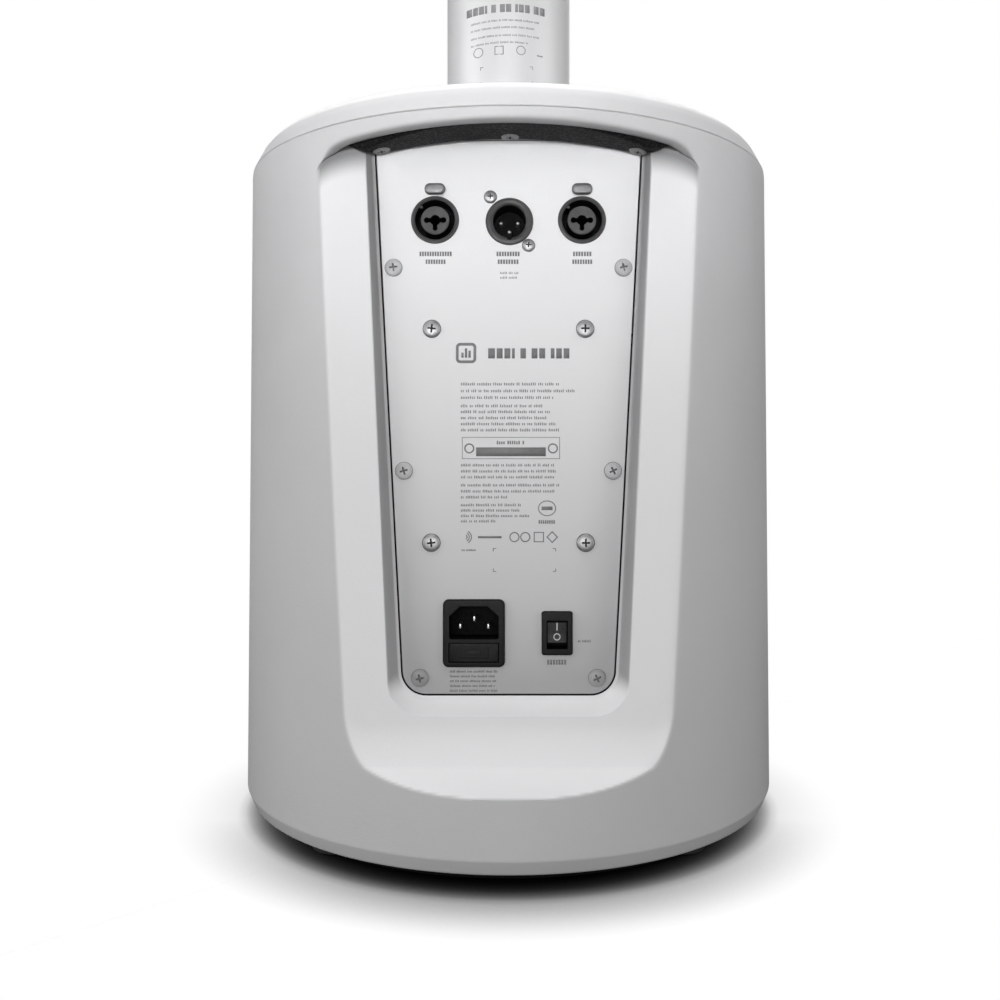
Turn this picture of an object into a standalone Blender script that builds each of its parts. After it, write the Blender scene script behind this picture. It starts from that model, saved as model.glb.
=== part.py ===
"""Column PA system: a round bass cabinet, a battery column and a speaker column.

Metres, +Z up. The origin is on the floor under the axis that the cabinet and
both columns share. The connector panel faces -Y and the grilles face +Y.
"""
import math

import bmesh
import bpy
from mathutils import Vector

# ---- driving dimensions -------------------------------------------------
BODY_R_LOW = 0.1594        # cabinet radius at the bottom crease
BODY_R_TOP = 0.1565        # cabinet radius at the seam under the cap
BODY_WALL = 0.0055
FOOT_H = 0.0034
CABINET_Z = 0.010          # lower edge of the cabinet shell
CHAMFER_Z = 0.0174         # crease above the bottom chamfer
SEAM_Z = 0.3764            # top edge of the shell, seam to the cap
TOP_Z = 0.392              # highest point of the cap
COLUMN_R = 0.0385
COLUMN_WALL = 0.0025
COUPLER_Z = 1.110          # top edge of the battery column
COUPLER_RING = 0.010       # black ring between the two columns
COUPLER_RISE = 0.072       # spigot above the battery column
END_CAP_H = 0.008
PACK_R = 0.033
TOTAL_H = 1.945
GAP = 0.0003               # clearance between neighbouring solids

PANEL_TILT = math.radians(1.84)
PANEL_Z = 0.204            # height of the panel frame's origin
PANEL_DEPTH = 0.1228       # distance from the axis to the panel at that height
PANEL_T = 0.002
PANEL_BOTTOM = -0.1143     # panel edges along its own up direction
PANEL_TOP = 0.1700
PANEL_HALF = 0.0591        # half width at the frame's origin
PANEL_TAPER = 0.0536       # gain of half width for each unit upward
PANEL_CORNER = 0.012
LEDGE_W = 0.0095           # rim that the panel is screwed to
POCKET_FLARE = (0.0120, 0.0085, 0.0110)   # height over the panel, growth at sides and below

RECESS_TILT = math.radians(2.71)
RECESS_DEPTH = 0.1306      # distance from the axis to the recess floor at PANEL_Z
RECESS_HALF = 0.0835       # half width above the lower corners
RECESS_ROUND = 0.013       # lower corners
RECESS_TOP_HALF = 0.0965
RECESS_TOP = 0.1640
RECESS_TOP_ROUND = (0.0125, 0.0165)       # upper corners, across and up
SCOOP = ((0.0, -0.1276), (0.0, -0.1382), (0.0056, -0.1472))    # off the floor, up
SLOPE = ((0.0056, -0.1472), (0.0144, -0.1558), (0.0210, -0.1581))
SLOPE_END = (0.0350, -0.1620)

GRIP_R = 0.1515            # inner face of the grip lip
GRIP_CHORD = 0.1235        # recess wall behind the grip insert
GRIP_ARCH_Z = 0.3710       # lower face of the grip insert at its middle
GRIP_ARCH_R = 0.292
GRIP_TURN = 0.0735         # the arch turns up again outside this
GRIP_RISE = 0.30
GRIP_STEPS = 16

JACK_X = 0.0377
JACK_UP = 0.1274
JACK_R = 0.0122            # outer radius of the three round connectors
TAB_UP = 0.0155            # release tab above the jack's centre
SOCKET_R = 0.0114          # the connectors behind the panel
CONNECTOR_HOLE_R = 0.0118
RIM_H = 0.0013             # the connectors' rims stand this far off the panel
JACK_DEPTH = 0.0280
OUTPUT_AT = (0.0005, 0.1266)
OUTPUT_DEPTH = 0.0230
INLET_AT = (-0.0175, -0.0836)
INLET_SIZE = (0.0314, 0.0342)
ROCKER_AT = (0.0246, -0.0836)
ROCKER_SIZE = (0.0157, 0.0222)
ROCKER_AXIS = -0.0036      # hinge behind the panel's face
ROCKER_REST = 8            # degrees
SCREW_HEAD = (0.0045, 0.0023)       # radius and height
SMALL_HEAD = (0.0031, 0.0018)
SCREW_HOLE_R = 0.0022
SMALL_HOLE_R = 0.0017
FOOT_AT = 0.092            # feet and their screws, from both middle planes
FOOT_HOLE_R = 0.0016

GRILLE_R = (0.1545, 0.1560)
GRILLE_ANGLE = 60          # half of the grille's opening around the axis, degrees
GRILLE_LOW = 0.044
GRILLE_HIGH = 0.346
GRILLE_RIM = 0.012         # seat of the grille around the window behind it
BAFFLE_Y = 0.088
BAFFLE_T = 0.012
BAFFLE_H = 0.350
BAFFLE_Z = 0.193
WOOFER_Z = 0.172
WOOFER_HOLE_R = 0.0935
PORT_X = 0.073
PORT_Z = 0.310
PORT_HOLE_R = 0.0238
SOCKET_FLOOR = 0.323
DRIVER_COUNT = 4
DRIVER_FIRST_Z = 1.345
DRIVER_STEP = 0.162
DRIVER_Y = 0.018
WINDOW_PAST = 0.060        # the window reaches this far past the end drivers
WINDOW_HALF = 0.0268

SEG_BODY = 60             # sides of the cabinet's round pieces
SEG_COLUMN = 30           # sides of the columns
SEG_ROUND = 20            # sides of connectors and loudspeakers
SEG_WOOFER = 28
SEG_DRIVER = 16
SEG_SMALL = 10            # sides of screws, drivers and holes

# places of the panel screws, in the panel frame (right, up)
EDGE_SCREWS = [(s * x, up) for x, up in ((0.0589, 0.1026), (0.0532, -0.0015), (0.0448, -0.1063))
               for s in (-1, 1)]
HEATSINK_SCREWS = [(s * 0.0392, up) for up in (0.0711, -0.0381) for s in (-1, 1)]
OUTPUT_SCREWS = [(-0.0093, 0.1392), (0.0103, 0.1141)]


# ---- tools --------------------------------------------------------------
def clear_scene():
    for obj in list(bpy.data.objects):
        bpy.data.objects.remove(obj, do_unlink=True)


def material(name, color, roughness, metallic=0.0):
    mat = bpy.data.materials.new(name)
    mat.use_nodes = True
    shader = mat.node_tree.nodes["Principled BSDF"]
    shader.inputs["Base Color"].default_value = (*color, 1.0)
    shader.inputs["Roughness"].default_value = roughness
    shader.inputs["Metallic"].default_value = metallic
    return mat


def make_mesh(name, verts, faces):
    mesh = bpy.data.meshes.new(name)
    mesh.from_pydata([tuple(v) for v in verts], [], faces)
    work = bmesh.new()
    work.from_mesh(mesh)
    bmesh.ops.recalc_face_normals(work, faces=work.faces)
    work.to_mesh(mesh)
    work.free()
    return mesh


def add(name, mesh, mat=None, parent=None, at=(0, 0, 0), turn=(0, 0, 0)):
    obj = bpy.data.objects.new(name, mesh)
    bpy.context.scene.collection.objects.link(obj)
    obj.location = at
    obj.rotation_euler = turn
    obj.parent = parent
    if mat is None:
        obj.hide_render = True
        obj.display_type = "WIRE"
    else:
        mesh.materials.append(mat)
        mesh.shade_smooth()
        mesh.set_sharp_from_angle(angle=math.radians(35))
    return obj


def boolean(obj, tool, operation="DIFFERENCE"):
    mod = obj.modifiers.new(tool.name, "BOOLEAN")
    mod.object = tool
    mod.operation = operation
    mod.solver = "EXACT"


def loft(name, rings):
    """Closed solid through rings of equal point count, with flat end caps."""
    count = len(rings[0])
    verts = [point for ring in rings for point in ring]
    faces = [tuple(range(count))]
    faces.append(tuple(range((len(rings) - 1) * count, len(rings) * count)))
    for level in range(len(rings) - 1):
        low = level * count
        for i in range(count):
            j = (i + 1) % count
            faces.append((low + i, low + j, low + count + j, low + count + i))
    return make_mesh(name, verts, faces)


def prism(name, outline, low, high):
    return loft(name, [[(x, y, z) for x, y in outline] for z in (low, high)])


def turned(name, profile, segments=SEG_ROUND):
    """Solid of revolution about Z from a closed outline of (radius, height)."""
    verts = []
    rows = []
    for radius, height in profile:
        if radius <= 0.0:
            rows.append([len(verts)] * segments)
            verts.append((0.0, 0.0, height))
            continue
        rows.append(list(range(len(verts), len(verts) + segments)))
        for i in range(segments):
            angle = 2 * math.pi * i / segments
            verts.append((radius * math.cos(angle), radius * math.sin(angle), height))
    faces = []
    for k, row in enumerate(rows):
        after = rows[(k + 1) % len(rows)]
        for i in range(segments):
            j = (i + 1) % segments
            ring = []
            for index in (row[i], row[j], after[j], after[i]):
                if index not in ring:
                    ring.append(index)
            if len(ring) > 2:
                faces.append(tuple(ring))
    return make_mesh(name, verts, faces)


def cylinder(radius, low, high):
    return [(0, low), (radius, low), (radius, high), (0, high)]


def arc(cx, cy, rx, ry, start, end, steps):
    """Points of an elliptical arc, angles in degrees."""
    angles = [math.radians(start + (end - start) * i / steps) for i in range(steps + 1)]
    return [(cx + rx * math.cos(a), cy + ry * math.sin(a)) for a in angles]


def rounded_rect(width, height, radius, cx=0.0, cy=0.0, steps=4):
    points = []
    for sx, sy, start in ((1, -1, -90), (1, 1, 0), (-1, 1, 90), (-1, -1, 180)):
        x = cx + sx * (width / 2 - radius)
        y = cy + sy * (height / 2 - radius)
        points += arc(x, y, radius, radius, start, start + 90, steps)
    return points


def panel_outline(grow=0.0, grow_bottom=None, top=PANEL_TOP, corner=PANEL_CORNER):
    """Tapered panel outline with round lower corners, grown by a margin."""
    bottom = PANEL_BOTTOM - (grow if grow_bottom is None else grow_bottom)

    def half(up):
        return PANEL_HALF + PANEL_TAPER * up + grow

    cx = half(bottom + corner) - corner
    right = arc(cx, bottom + corner, corner, corner, -90, 0, 6)
    right.append((half(top), top))
    return right + [(-x, y) for x, y in reversed(right)]


def disc_tools(name, places, radius, low, high, parent, segments=SEG_SMALL):
    """One cutter object made of round pins standing along the frame's Z."""
    verts = []
    faces = []
    for cx, cy in places:
        base = len(verts)
        for z in (low, high):
            for i in range(segments):
                a = 2 * math.pi * i / segments
                verts.append((cx + radius * math.cos(a), cy + radius * math.sin(a), z))
        faces.append(tuple(range(base, base + segments)))
        faces.append(tuple(range(base + segments, base + 2 * segments)))
        for i in range(segments):
            j = (i + 1) % segments
            faces.append((base + i, base + j, base + segments + j, base + segments + i))
    return add(name, make_mesh(name, verts, faces), parent=parent)


def sector(name, inner, outer, half_angle, low, high, steps):
    """Curved slab about Z, centred on +Y, between two radii."""
    angles = [90 - half_angle, 90 + half_angle]
    outline = arc(0, 0, outer, outer, angles[0], angles[1], steps)
    outline += arc(0, 0, inner, inner, angles[1], angles[0], steps)
    return prism(name, outline, low, high)


# ---- materials ----------------------------------------------------------
def make_materials():
    return {
        "shell": material("shell", (0.78, 0.78, 0.79), 0.55),
        "panel": material("panel", (0.76, 0.76, 0.77), 0.5),
        "black": material("black", (0.03, 0.03, 0.032), 0.5),
        "rubber": material("rubber", (0.02, 0.02, 0.02), 0.8),
        "grille": material("grille", (0.72, 0.72, 0.73), 0.45, 0.6),
        "nickel": material("nickel", (0.7, 0.69, 0.66), 0.3, 1.0),
        "aluminium": material("aluminium", (0.75, 0.76, 0.77), 0.35, 1.0),
        "board": material("board", (0.04, 0.16, 0.07), 0.6),
        "wood": material("wood", (0.42, 0.31, 0.2), 0.7),
        "cone": material("cone", (0.05, 0.05, 0.05), 0.85),
        "magnet": material("magnet", (0.09, 0.09, 0.1), 0.5, 0.4),
        "cell": material("cell", (0.1, 0.25, 0.55), 0.4),
    }


# ---- cabinet ------------------------------------------------------------
def curve_point(points, t):
    """Point of a quadratic curve through the first and last of three points."""
    start, pull, end = (Vector(p) for p in points)
    return start * (1 - t) ** 2 + pull * 2 * t * (1 - t) + end * t * t


def recess_rings():
    """Outlines of the rear recess in its own frame, from its floor to outside."""
    levels = [curve_point(SCOOP, i / 4) for i in range(5)]
    levels += [curve_point(SLOPE, i / 3) for i in range(1, 4)]
    levels.append(Vector(SLOPE_END))
    rx, ry = RECESS_TOP_ROUND
    rings = []
    for out, bottom in levels:
        corner = RECESS_HALF - RECESS_ROUND
        right = arc(corner, bottom + RECESS_ROUND, RECESS_ROUND, RECESS_ROUND, -90, 0, 6)
        right += arc(RECESS_TOP_HALF - rx, RECESS_TOP - ry, rx, ry, 0, 90, 5)
        ring = right + [(-x, y) for x, y in reversed(right)]
        rings.append([(x, y, out) for x, y in ring])
    return rings


def segment_outline(radius, chord, steps=16):
    """Part of a disc that lies beyond the chord y = -chord."""
    half = math.degrees(math.acos(chord / radius))
    return arc(0, 0, radius, radius, 270 - half, 270 + half, steps)


def interior_mesh():
    """D-shaped cavity whose flat rear wall leans with the panel."""
    radius = BODY_R_TOP - BODY_WALL
    rings = []
    for z in (0.0165, 0.400):
        chord = PANEL_DEPTH - (z - PANEL_Z) * math.tan(PANEL_TILT) - 0.0063
        half = math.degrees(math.acos(chord / radius))
        ring = arc(0, 0, radius, radius, -90 + half, 270 - half, 56)
        rings.append([(x, y, z) for x, y in ring])
    return loft("interior", rings)


def make_shell(mats, rear, recess):
    profile = [(0, CABINET_Z), (BODY_R_TOP, CABINET_Z), (BODY_R_LOW, CHAMFER_Z),
               (BODY_R_TOP, SEAM_Z), (0, SEAM_Z)]
    shell = add("body_shell", turned("body_shell", profile, SEG_BODY), mats["shell"])
    boolean(shell, add("cut_interior", interior_mesh()))
    boolean(shell, add("cut_recess", loft("cut_recess", recess_rings()), parent=recess))

    grip = prism("cut_grip", segment_outline(GRIP_R, GRIP_CHORD), 0.345, SEAM_Z + 0.01)
    boolean(shell, add("cut_grip", grip))

    rings = []
    for out, grow, below in (POCKET_FLARE, (0.0012, 0.0020, 0.0024),
                             (-PANEL_T - GAP, 0.0006, 0.0006)):
        outline = panel_outline(grow, below, 0.190, PANEL_CORNER + grow)
        rings.append([(x, y, out) for x, y in outline])
    boolean(shell, add("cut_pocket", loft("cut_pocket", rings), parent=rear))

    hole = prism("cut_panel", panel_outline(-LEDGE_W, None, 0.152, 0.008), -0.03, 0.002)
    boolean(shell, add("cut_panel", hole, parent=rear))
    boolean(shell, disc_tools("cut_edge_screws", EDGE_SCREWS, SCREW_HOLE_R, -0.02, 0.01, rear))

    seat = sector("cut_grille", GRILLE_R[0] - 0.0004, 0.17, GRILLE_ANGLE, GRILLE_LOW, GRILLE_HIGH, 28)
    boolean(shell, add("cut_grille", seat))
    window = sector("cut_window", 0.14, 0.17, GRILLE_ANGLE - 4, GRILLE_LOW + GRILLE_RIM,
                    GRILLE_HIGH - GRILLE_RIM, 26)
    boolean(shell, add("cut_window", window))
    boolean(shell, disc_tools("cut_foot_screws", foot_places(), FOOT_HOLE_R, 0.0, 0.03, None))
    return shell


def foot_places():
    return [(sx * FOOT_AT, sy * FOOT_AT) for sx in (-1, 1) for sy in (-1, 1)]


def make_cap(mats):
    crown = arc(0.1410, SEAM_Z + 0.0071, 0.0115, 0.0080, 8, 84, 4)
    profile = [(BODY_R_TOP, SEAM_Z + GAP)] + crown
    profile += [(0.132, TOP_Z), (0.0445, TOP_Z), (0.0445, SEAM_Z - 0.006), (0.0490, SEAM_Z - 0.006),
                (0.0490, TOP_Z - 0.004), (0.108, TOP_Z - 0.004), (0.108, SEAM_Z + GAP)]
    add("top_cap", turned("top_cap", profile, SEG_BODY), mats["shell"])


def make_base(mats):
    top = CABINET_Z - GAP
    profile = [(0, FOOT_H + GAP), (0.1455, FOOT_H + GAP), (0.1505, top), (0, top)]
    plinth = add("base_plinth", turned("base_plinth", profile, SEG_BODY), mats["black"])
    boolean(plinth, disc_tools("cut_plinth_screws", foot_places(), FOOT_HOLE_R, -0.01, 0.03, None))
    foot = [(0, 0), (0.0125, 0), (0.0140, 0.0012), (0.0140, FOOT_H), (0.0013, FOOT_H),
            (0.0013, 0.0135), (0, 0.0135)]
    for i, (x, y) in enumerate(foot_places()):
        name = f"rubber_foot_{i + 1}"
        add(name, turned(name, foot, SEG_DRIVER), mats["rubber"], at=(x, y, 0))


def make_grip(mats):
    """Black insert behind the grip lip, its lower face arched and turned up at the ends."""
    back = -(GRIP_CHORD + GAP)
    radius = GRIP_R - GAP
    half = math.sqrt(radius * radius - back * back) - 0.0010
    top = SEAM_Z - GAP
    rings = []
    for i in range(GRIP_STEPS + 1):
        x = half * (2 * i / GRIP_STEPS - 1)
        front = -math.sqrt(radius * radius - x * x)
        side = min(abs(x), GRIP_TURN)
        low = GRIP_ARCH_Z - side * side / (2 * GRIP_ARCH_R) + GRIP_RISE * (abs(x) - side)
        rings.append([(x, back, low), (x, front, low), (x, front, top), (x, back, top)])
    add("grip_insert", loft("grip_insert", rings), mats["black"])


# ---- connector panel ----------------------------------------------------
def make_panel(mats, rear):
    panel = prism("rear_panel", panel_outline(), -PANEL_T, 0.0)
    panel = add("rear_panel", panel, mats["panel"], rear)
    round_holes = [(-JACK_X, JACK_UP), (JACK_X, JACK_UP), OUTPUT_AT]
    cutter = disc_tools("cut_connectors", round_holes, CONNECTOR_HOLE_R, -0.01, 0.01, rear, SEG_ROUND)
    boolean(panel, cutter)
    holes = EDGE_SCREWS + HEATSINK_SCREWS
    boolean(panel, disc_tools("cut_screws", holes, SCREW_HOLE_R, -0.01, 0.01, rear))
    cutter = disc_tools("cut_small_screws", OUTPUT_SCREWS, SMALL_HOLE_R, -0.01, 0.01, rear)
    boolean(panel, cutter)
    for side in (-1, 1):
        slot = rounded_rect(0.0064, 0.0030, 0.0006, side * JACK_X, JACK_UP + TAB_UP, 2)
        name = f"cut_tab_{side + 1}"
        boolean(panel, add(name, prism(name, slot, -0.01, 0.01), parent=rear))
    inlet = rounded_rect(0.0282, 0.0312, 0.0010, *INLET_AT, 2)
    boolean(panel, add("cut_inlet", prism("cut_inlet", inlet, -0.01, 0.01), parent=rear))
    rocker = rounded_rect(0.0134, 0.0196, 0.0006, *ROCKER_AT, 2)
    boolean(panel, add("cut_rocker", prism("cut_rocker", rocker, -0.01, 0.01), parent=rear))


def screw_mesh(name, head_r, head_h, shank_r, shank_to):
    """Pan head above its seat, with the shank below it."""
    profile = [(0, head_h), (head_r * 0.55, head_h * 0.94), (head_r * 0.88, head_h * 0.62),
               (head_r, head_h * 0.2), (head_r, GAP), (shank_r, GAP), (shank_r, -shank_to),
               (0, -shank_to)]
    return turned(name, profile, SEG_SMALL)


def make_screws(mats, rear):
    for i, (x, y) in enumerate(EDGE_SCREWS):
        name = f"panel_screw_{i + 1}"
        mesh = screw_mesh(name, *SCREW_HEAD, 0.0019, 0.0055)
        add(name, mesh, mats["panel"], rear, (x, y, 0))
    for i, (x, y) in enumerate(HEATSINK_SCREWS):
        name = f"heatsink_screw_{i + 1}"
        mesh = screw_mesh(name, *SCREW_HEAD, 0.0019, 0.0075)
        add(name, mesh, mats["nickel"], rear, (x, y, 0))
    for i, (x, y) in enumerate(OUTPUT_SCREWS):
        name = f"output_screw_{i + 1}"
        mesh = screw_mesh(name, *SMALL_HEAD, 0.0014, 0.0060)
        add(name, mesh, mats["nickel"], rear, (x, y, 0))


def make_input_jacks(mats, rear):
    """Two combined plug and jack sockets, each with its release tab."""
    profile = [(0.0032, -0.0010), (0.0072, -0.0010), (0.0072, -0.0100), (0.0100, -0.0100),
               (0.0100, RIM_H), (JACK_R, RIM_H), (JACK_R, GAP), (SOCKET_R, GAP),
               (SOCKET_R, -JACK_DEPTH), (0, -JACK_DEPTH), (0, 0.003 - JACK_DEPTH),
               (0.0032, 0.003 - JACK_DEPTH)]
    pins = [(-0.0043, 0.0004), (0.0043, 0.0004), (0.0, -0.0045)]
    for side, label in ((-1, "left"), (1, "right")):
        at = (side * JACK_X, JACK_UP, 0)
        name = f"input_jack_{label}"
        jack = add(name, turned(name, profile, SEG_ROUND), mats["black"], rear, at)
        places = [(at[0] + x, at[1] + y) for x, y in pins]
        boolean(jack, disc_tools(f"cut_pins_{label}", places, 0.00135, -0.009, 0.01, rear, 8))
        head = rounded_rect(0.0103, 0.0057, 0.0022, 0, 0, 4)
        stem = rounded_rect(0.0056, 0.0023, 0.0004, 0, 0, 2)
        name = f"release_tab_{label}"
        place = (at[0], at[1] + TAB_UP, 0)
        tab = add(name, prism(name, head, 0.0016, 0.0034), mats["nickel"], rear, place)
        bar = add(f"join_{label}", prism(f"join_{label}", stem, -0.0060, 0.0025), None, rear, place)
        boolean(tab, bar, "UNION")


def make_output_socket(mats, rear):
    at = (*OUTPUT_AT, 0)
    profile = [(0.0082, -0.0140), (0.0082, RIM_H), (JACK_R, RIM_H), (JACK_R, GAP),
               (SOCKET_R, GAP), (SOCKET_R, -OUTPUT_DEPTH), (0, -OUTPUT_DEPTH), (0, -0.0140)]
    add("output_socket", turned("output_socket", profile, SEG_ROUND), mats["black"], rear, at)
    disc = [(0, -0.0137), (0.0078, -0.0137), (0.0078, -0.0110), (0, -0.0110)]
    pins = add("output_pins", turned("output_pins", disc, SEG_ROUND), mats["nickel"], rear, at)
    places = [(at[0] + x, at[1] + y) for x, y in ((-0.0043, -0.0011), (0.0043, -0.0011), (0, -0.0053))]
    rods = disc_tools("join_pins", places, 0.0012, -0.0130, -0.0020, rear, 10)
    boolean(pins, rods, "UNION")


def inlet_cavity(low, high):
    """Outline of the appliance inlet's opening, with two bevelled upper corners."""
    cx, cy = INLET_AT
    top = cy + 0.0137
    bottom = cy - 0.0030
    half = 0.01255
    cut = 0.0045
    outline = [(cx - half, bottom), (cx + half, bottom), (cx + half, top - cut),
               (cx + half - cut, top), (cx - half + cut, top), (cx - half, top - cut)]
    return prism("inlet_cavity", outline, low, high)


def make_mains_inlet(mats, rear):
    cx, cy = INLET_AT
    bezel = prism("mains_inlet", rounded_rect(*INLET_SIZE, 0.0030, cx, cy), GAP, 0.0022)
    inlet = add("mains_inlet", bezel, mats["black"], rear)
    block = prism("join_inlet", rounded_rect(0.0274, 0.0304, 0.0008, cx, cy, 2), -0.0270, 0.0010)
    boolean(inlet, add("join_inlet", block, parent=rear), "UNION")
    boolean(inlet, add("cut_cavity", inlet_cavity(-0.0165, 0.01), parent=rear))
    bay = rounded_rect(0.0256, 0.0100, 0.0006, cx, cy - 0.0097, 2)
    boolean(inlet, add("cut_bay", prism("cut_bay", bay, -0.0240, 0.01), parent=rear))

    base = [(cx - 0.0118, cy - 0.0023), (cx + 0.0118, cy - 0.0023), (cx + 0.0118, cy + 0.0086),
            (cx - 0.0118, cy + 0.0086)]
    contacts = add("mains_contacts", prism("mains_contacts", base, -0.0162, -0.0145),
                   mats["nickel"], rear)
    for i, (x, y) in enumerate(((-0.0072, 0.0035), (0.0, 0.0070), (0.0072, 0.0035))):
        name = f"join_blade_{i}"
        blade = prism(name, rounded_rect(0.0020, 0.0040 - 0.0008 * (i == 1), 0.0003,
                                         cx + x, cy + y, 1), -0.0150, -0.0015)
        boolean(contacts, add(name, blade, parent=rear), "UNION")


def make_fuse_drawer(mats, rear):
    cx, cy = INLET_AT
    face = prism("fuse_drawer", rounded_rect(0.0250, 0.0094, 0.0006, 0, 0, 2), -0.0006, 0.0020)
    drawer = add("fuse_drawer", face, mats["black"], rear, (cx, cy - 0.0097, 0))
    body = rounded_rect(0.0230, 0.0078, 0.0004, 0, 0, 1)
    at = (cx, cy - 0.0097, 0)
    boolean(drawer, add("join_drawer", prism("join_drawer", body, -0.0230, 0.0), None, rear, at), "UNION")
    groove = rounded_rect(0.0205, 0.0120, 0.0004, 0, 0.0055, 1)
    boolean(drawer, add("cut_groove", prism("cut_groove", groove, -0.0200, -0.0140), None, rear, at))


def make_power_switch(mats, rear):
    cx, cy = ROCKER_AT
    bezel = prism("rocker_bezel", rounded_rect(*ROCKER_SIZE, 0.0015, cx, cy), GAP, 0.0021)
    frame = add("rocker_bezel", bezel, mats["black"], rear)
    block = prism("join_bezel", rounded_rect(0.0128, 0.0190, 0.0005, cx, cy, 1), -0.0200, 0.0010)
    boolean(frame, add("join_bezel", block, parent=rear), "UNION")
    well = prism("cut_well", rounded_rect(0.0110, 0.0152, 0.0003, cx, cy, 1), -0.0125, 0.01)
    boolean(frame, add("cut_well", well, parent=rear))

    # rocker outline across its hinge: two raised ends and a round belly
    belly = arc(0, 0.0, 0.0067, 0.0067, 180, 360, 10)
    outline = [(-0.0069, 0.0046), (0.0, 0.0029), (0.0069, 0.0046)]
    outline = list(reversed(outline)) + belly
    half = 0.0052
    rings = [[(x, up, out) for up, out in outline] for x in (-half, half)]
    add("power_rocker", loft("power_rocker", rings), mats["black"], rear,
        (cx, cy, ROCKER_AXIS), (math.radians(ROCKER_REST), 0, 0))


# ---- electronics --------------------------------------------------------
def box_mesh(name, size, centre):
    sx, sy, sz = (s / 2 for s in size)
    cx, cy, cz = centre
    outline = [(cx - sx, cy - sy), (cx + sx, cy - sy), (cx + sx, cy + sy), (cx - sx, cy + sy)]
    return prism(name, outline, cz - sz, cz + sz)


def joined_boxes(name, mat, rear, boxes):
    """Board and its tallest parts as one solid; each box is (size, centre)."""
    board = add(name, box_mesh(name, *boxes[0]), mat, rear)
    for i, (size, centre) in enumerate(boxes[1:]):
        piece = add(f"join_{name}_{i}", box_mesh(f"join_{name}_{i}", size, centre), None, rear)
        boolean(board, piece, "UNION")
    return board


def make_electronics(mats, rear):
    back = -PANEL_T - GAP
    plate = ((0.090, 0.124, 0.006), (0, 0.0165, back - 0.003))
    fins = [((0.0016, 0.124, 0.0125), (x, 0.0165, back - 0.0115))
            for x in (-0.030, -0.018, -0.006, 0.006, 0.018, 0.030)]
    sink = joined_boxes("heatsink", mats["aluminium"], rear, [plate] + fins)
    boolean(sink, disc_tools("cut_sink", HEATSINK_SCREWS, 0.0022, -0.03, 0.01, rear, 8))
    amp = [((0.084, 0.110, 0.0016), (0, 0.0165, -0.0268)),
           ((0.026, 0.026, 0.020), (-0.022, 0.045, -0.037)),
           ((0.018, 0.040, 0.016), (0.024, 0.005, -0.035)),
           ((0.060, 0.010, 0.010), (0, -0.024, -0.032))]
    joined_boxes("amplifier_board", mats["board"], rear, amp)
    supply = [((0.088, 0.100, 0.0016), (0, 0.018, -0.0620)),
              ((0.038, 0.034, 0.028), (-0.018, 0.000, -0.0760)),
              ((0.020, 0.020, 0.030), (0.026, 0.040, -0.0770))]
    joined_boxes("power_supply", mats["board"], rear, supply)


# ---- bass loudspeaker ---------------------------------------------------
def facing_front(name, mesh, mat, y, z, x=0.0):
    """Place a solid turned about Z so that its axis points to +Y."""
    return add(name, mesh, mat, None, (x, y, z), (-math.pi / 2, 0, 0))


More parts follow.
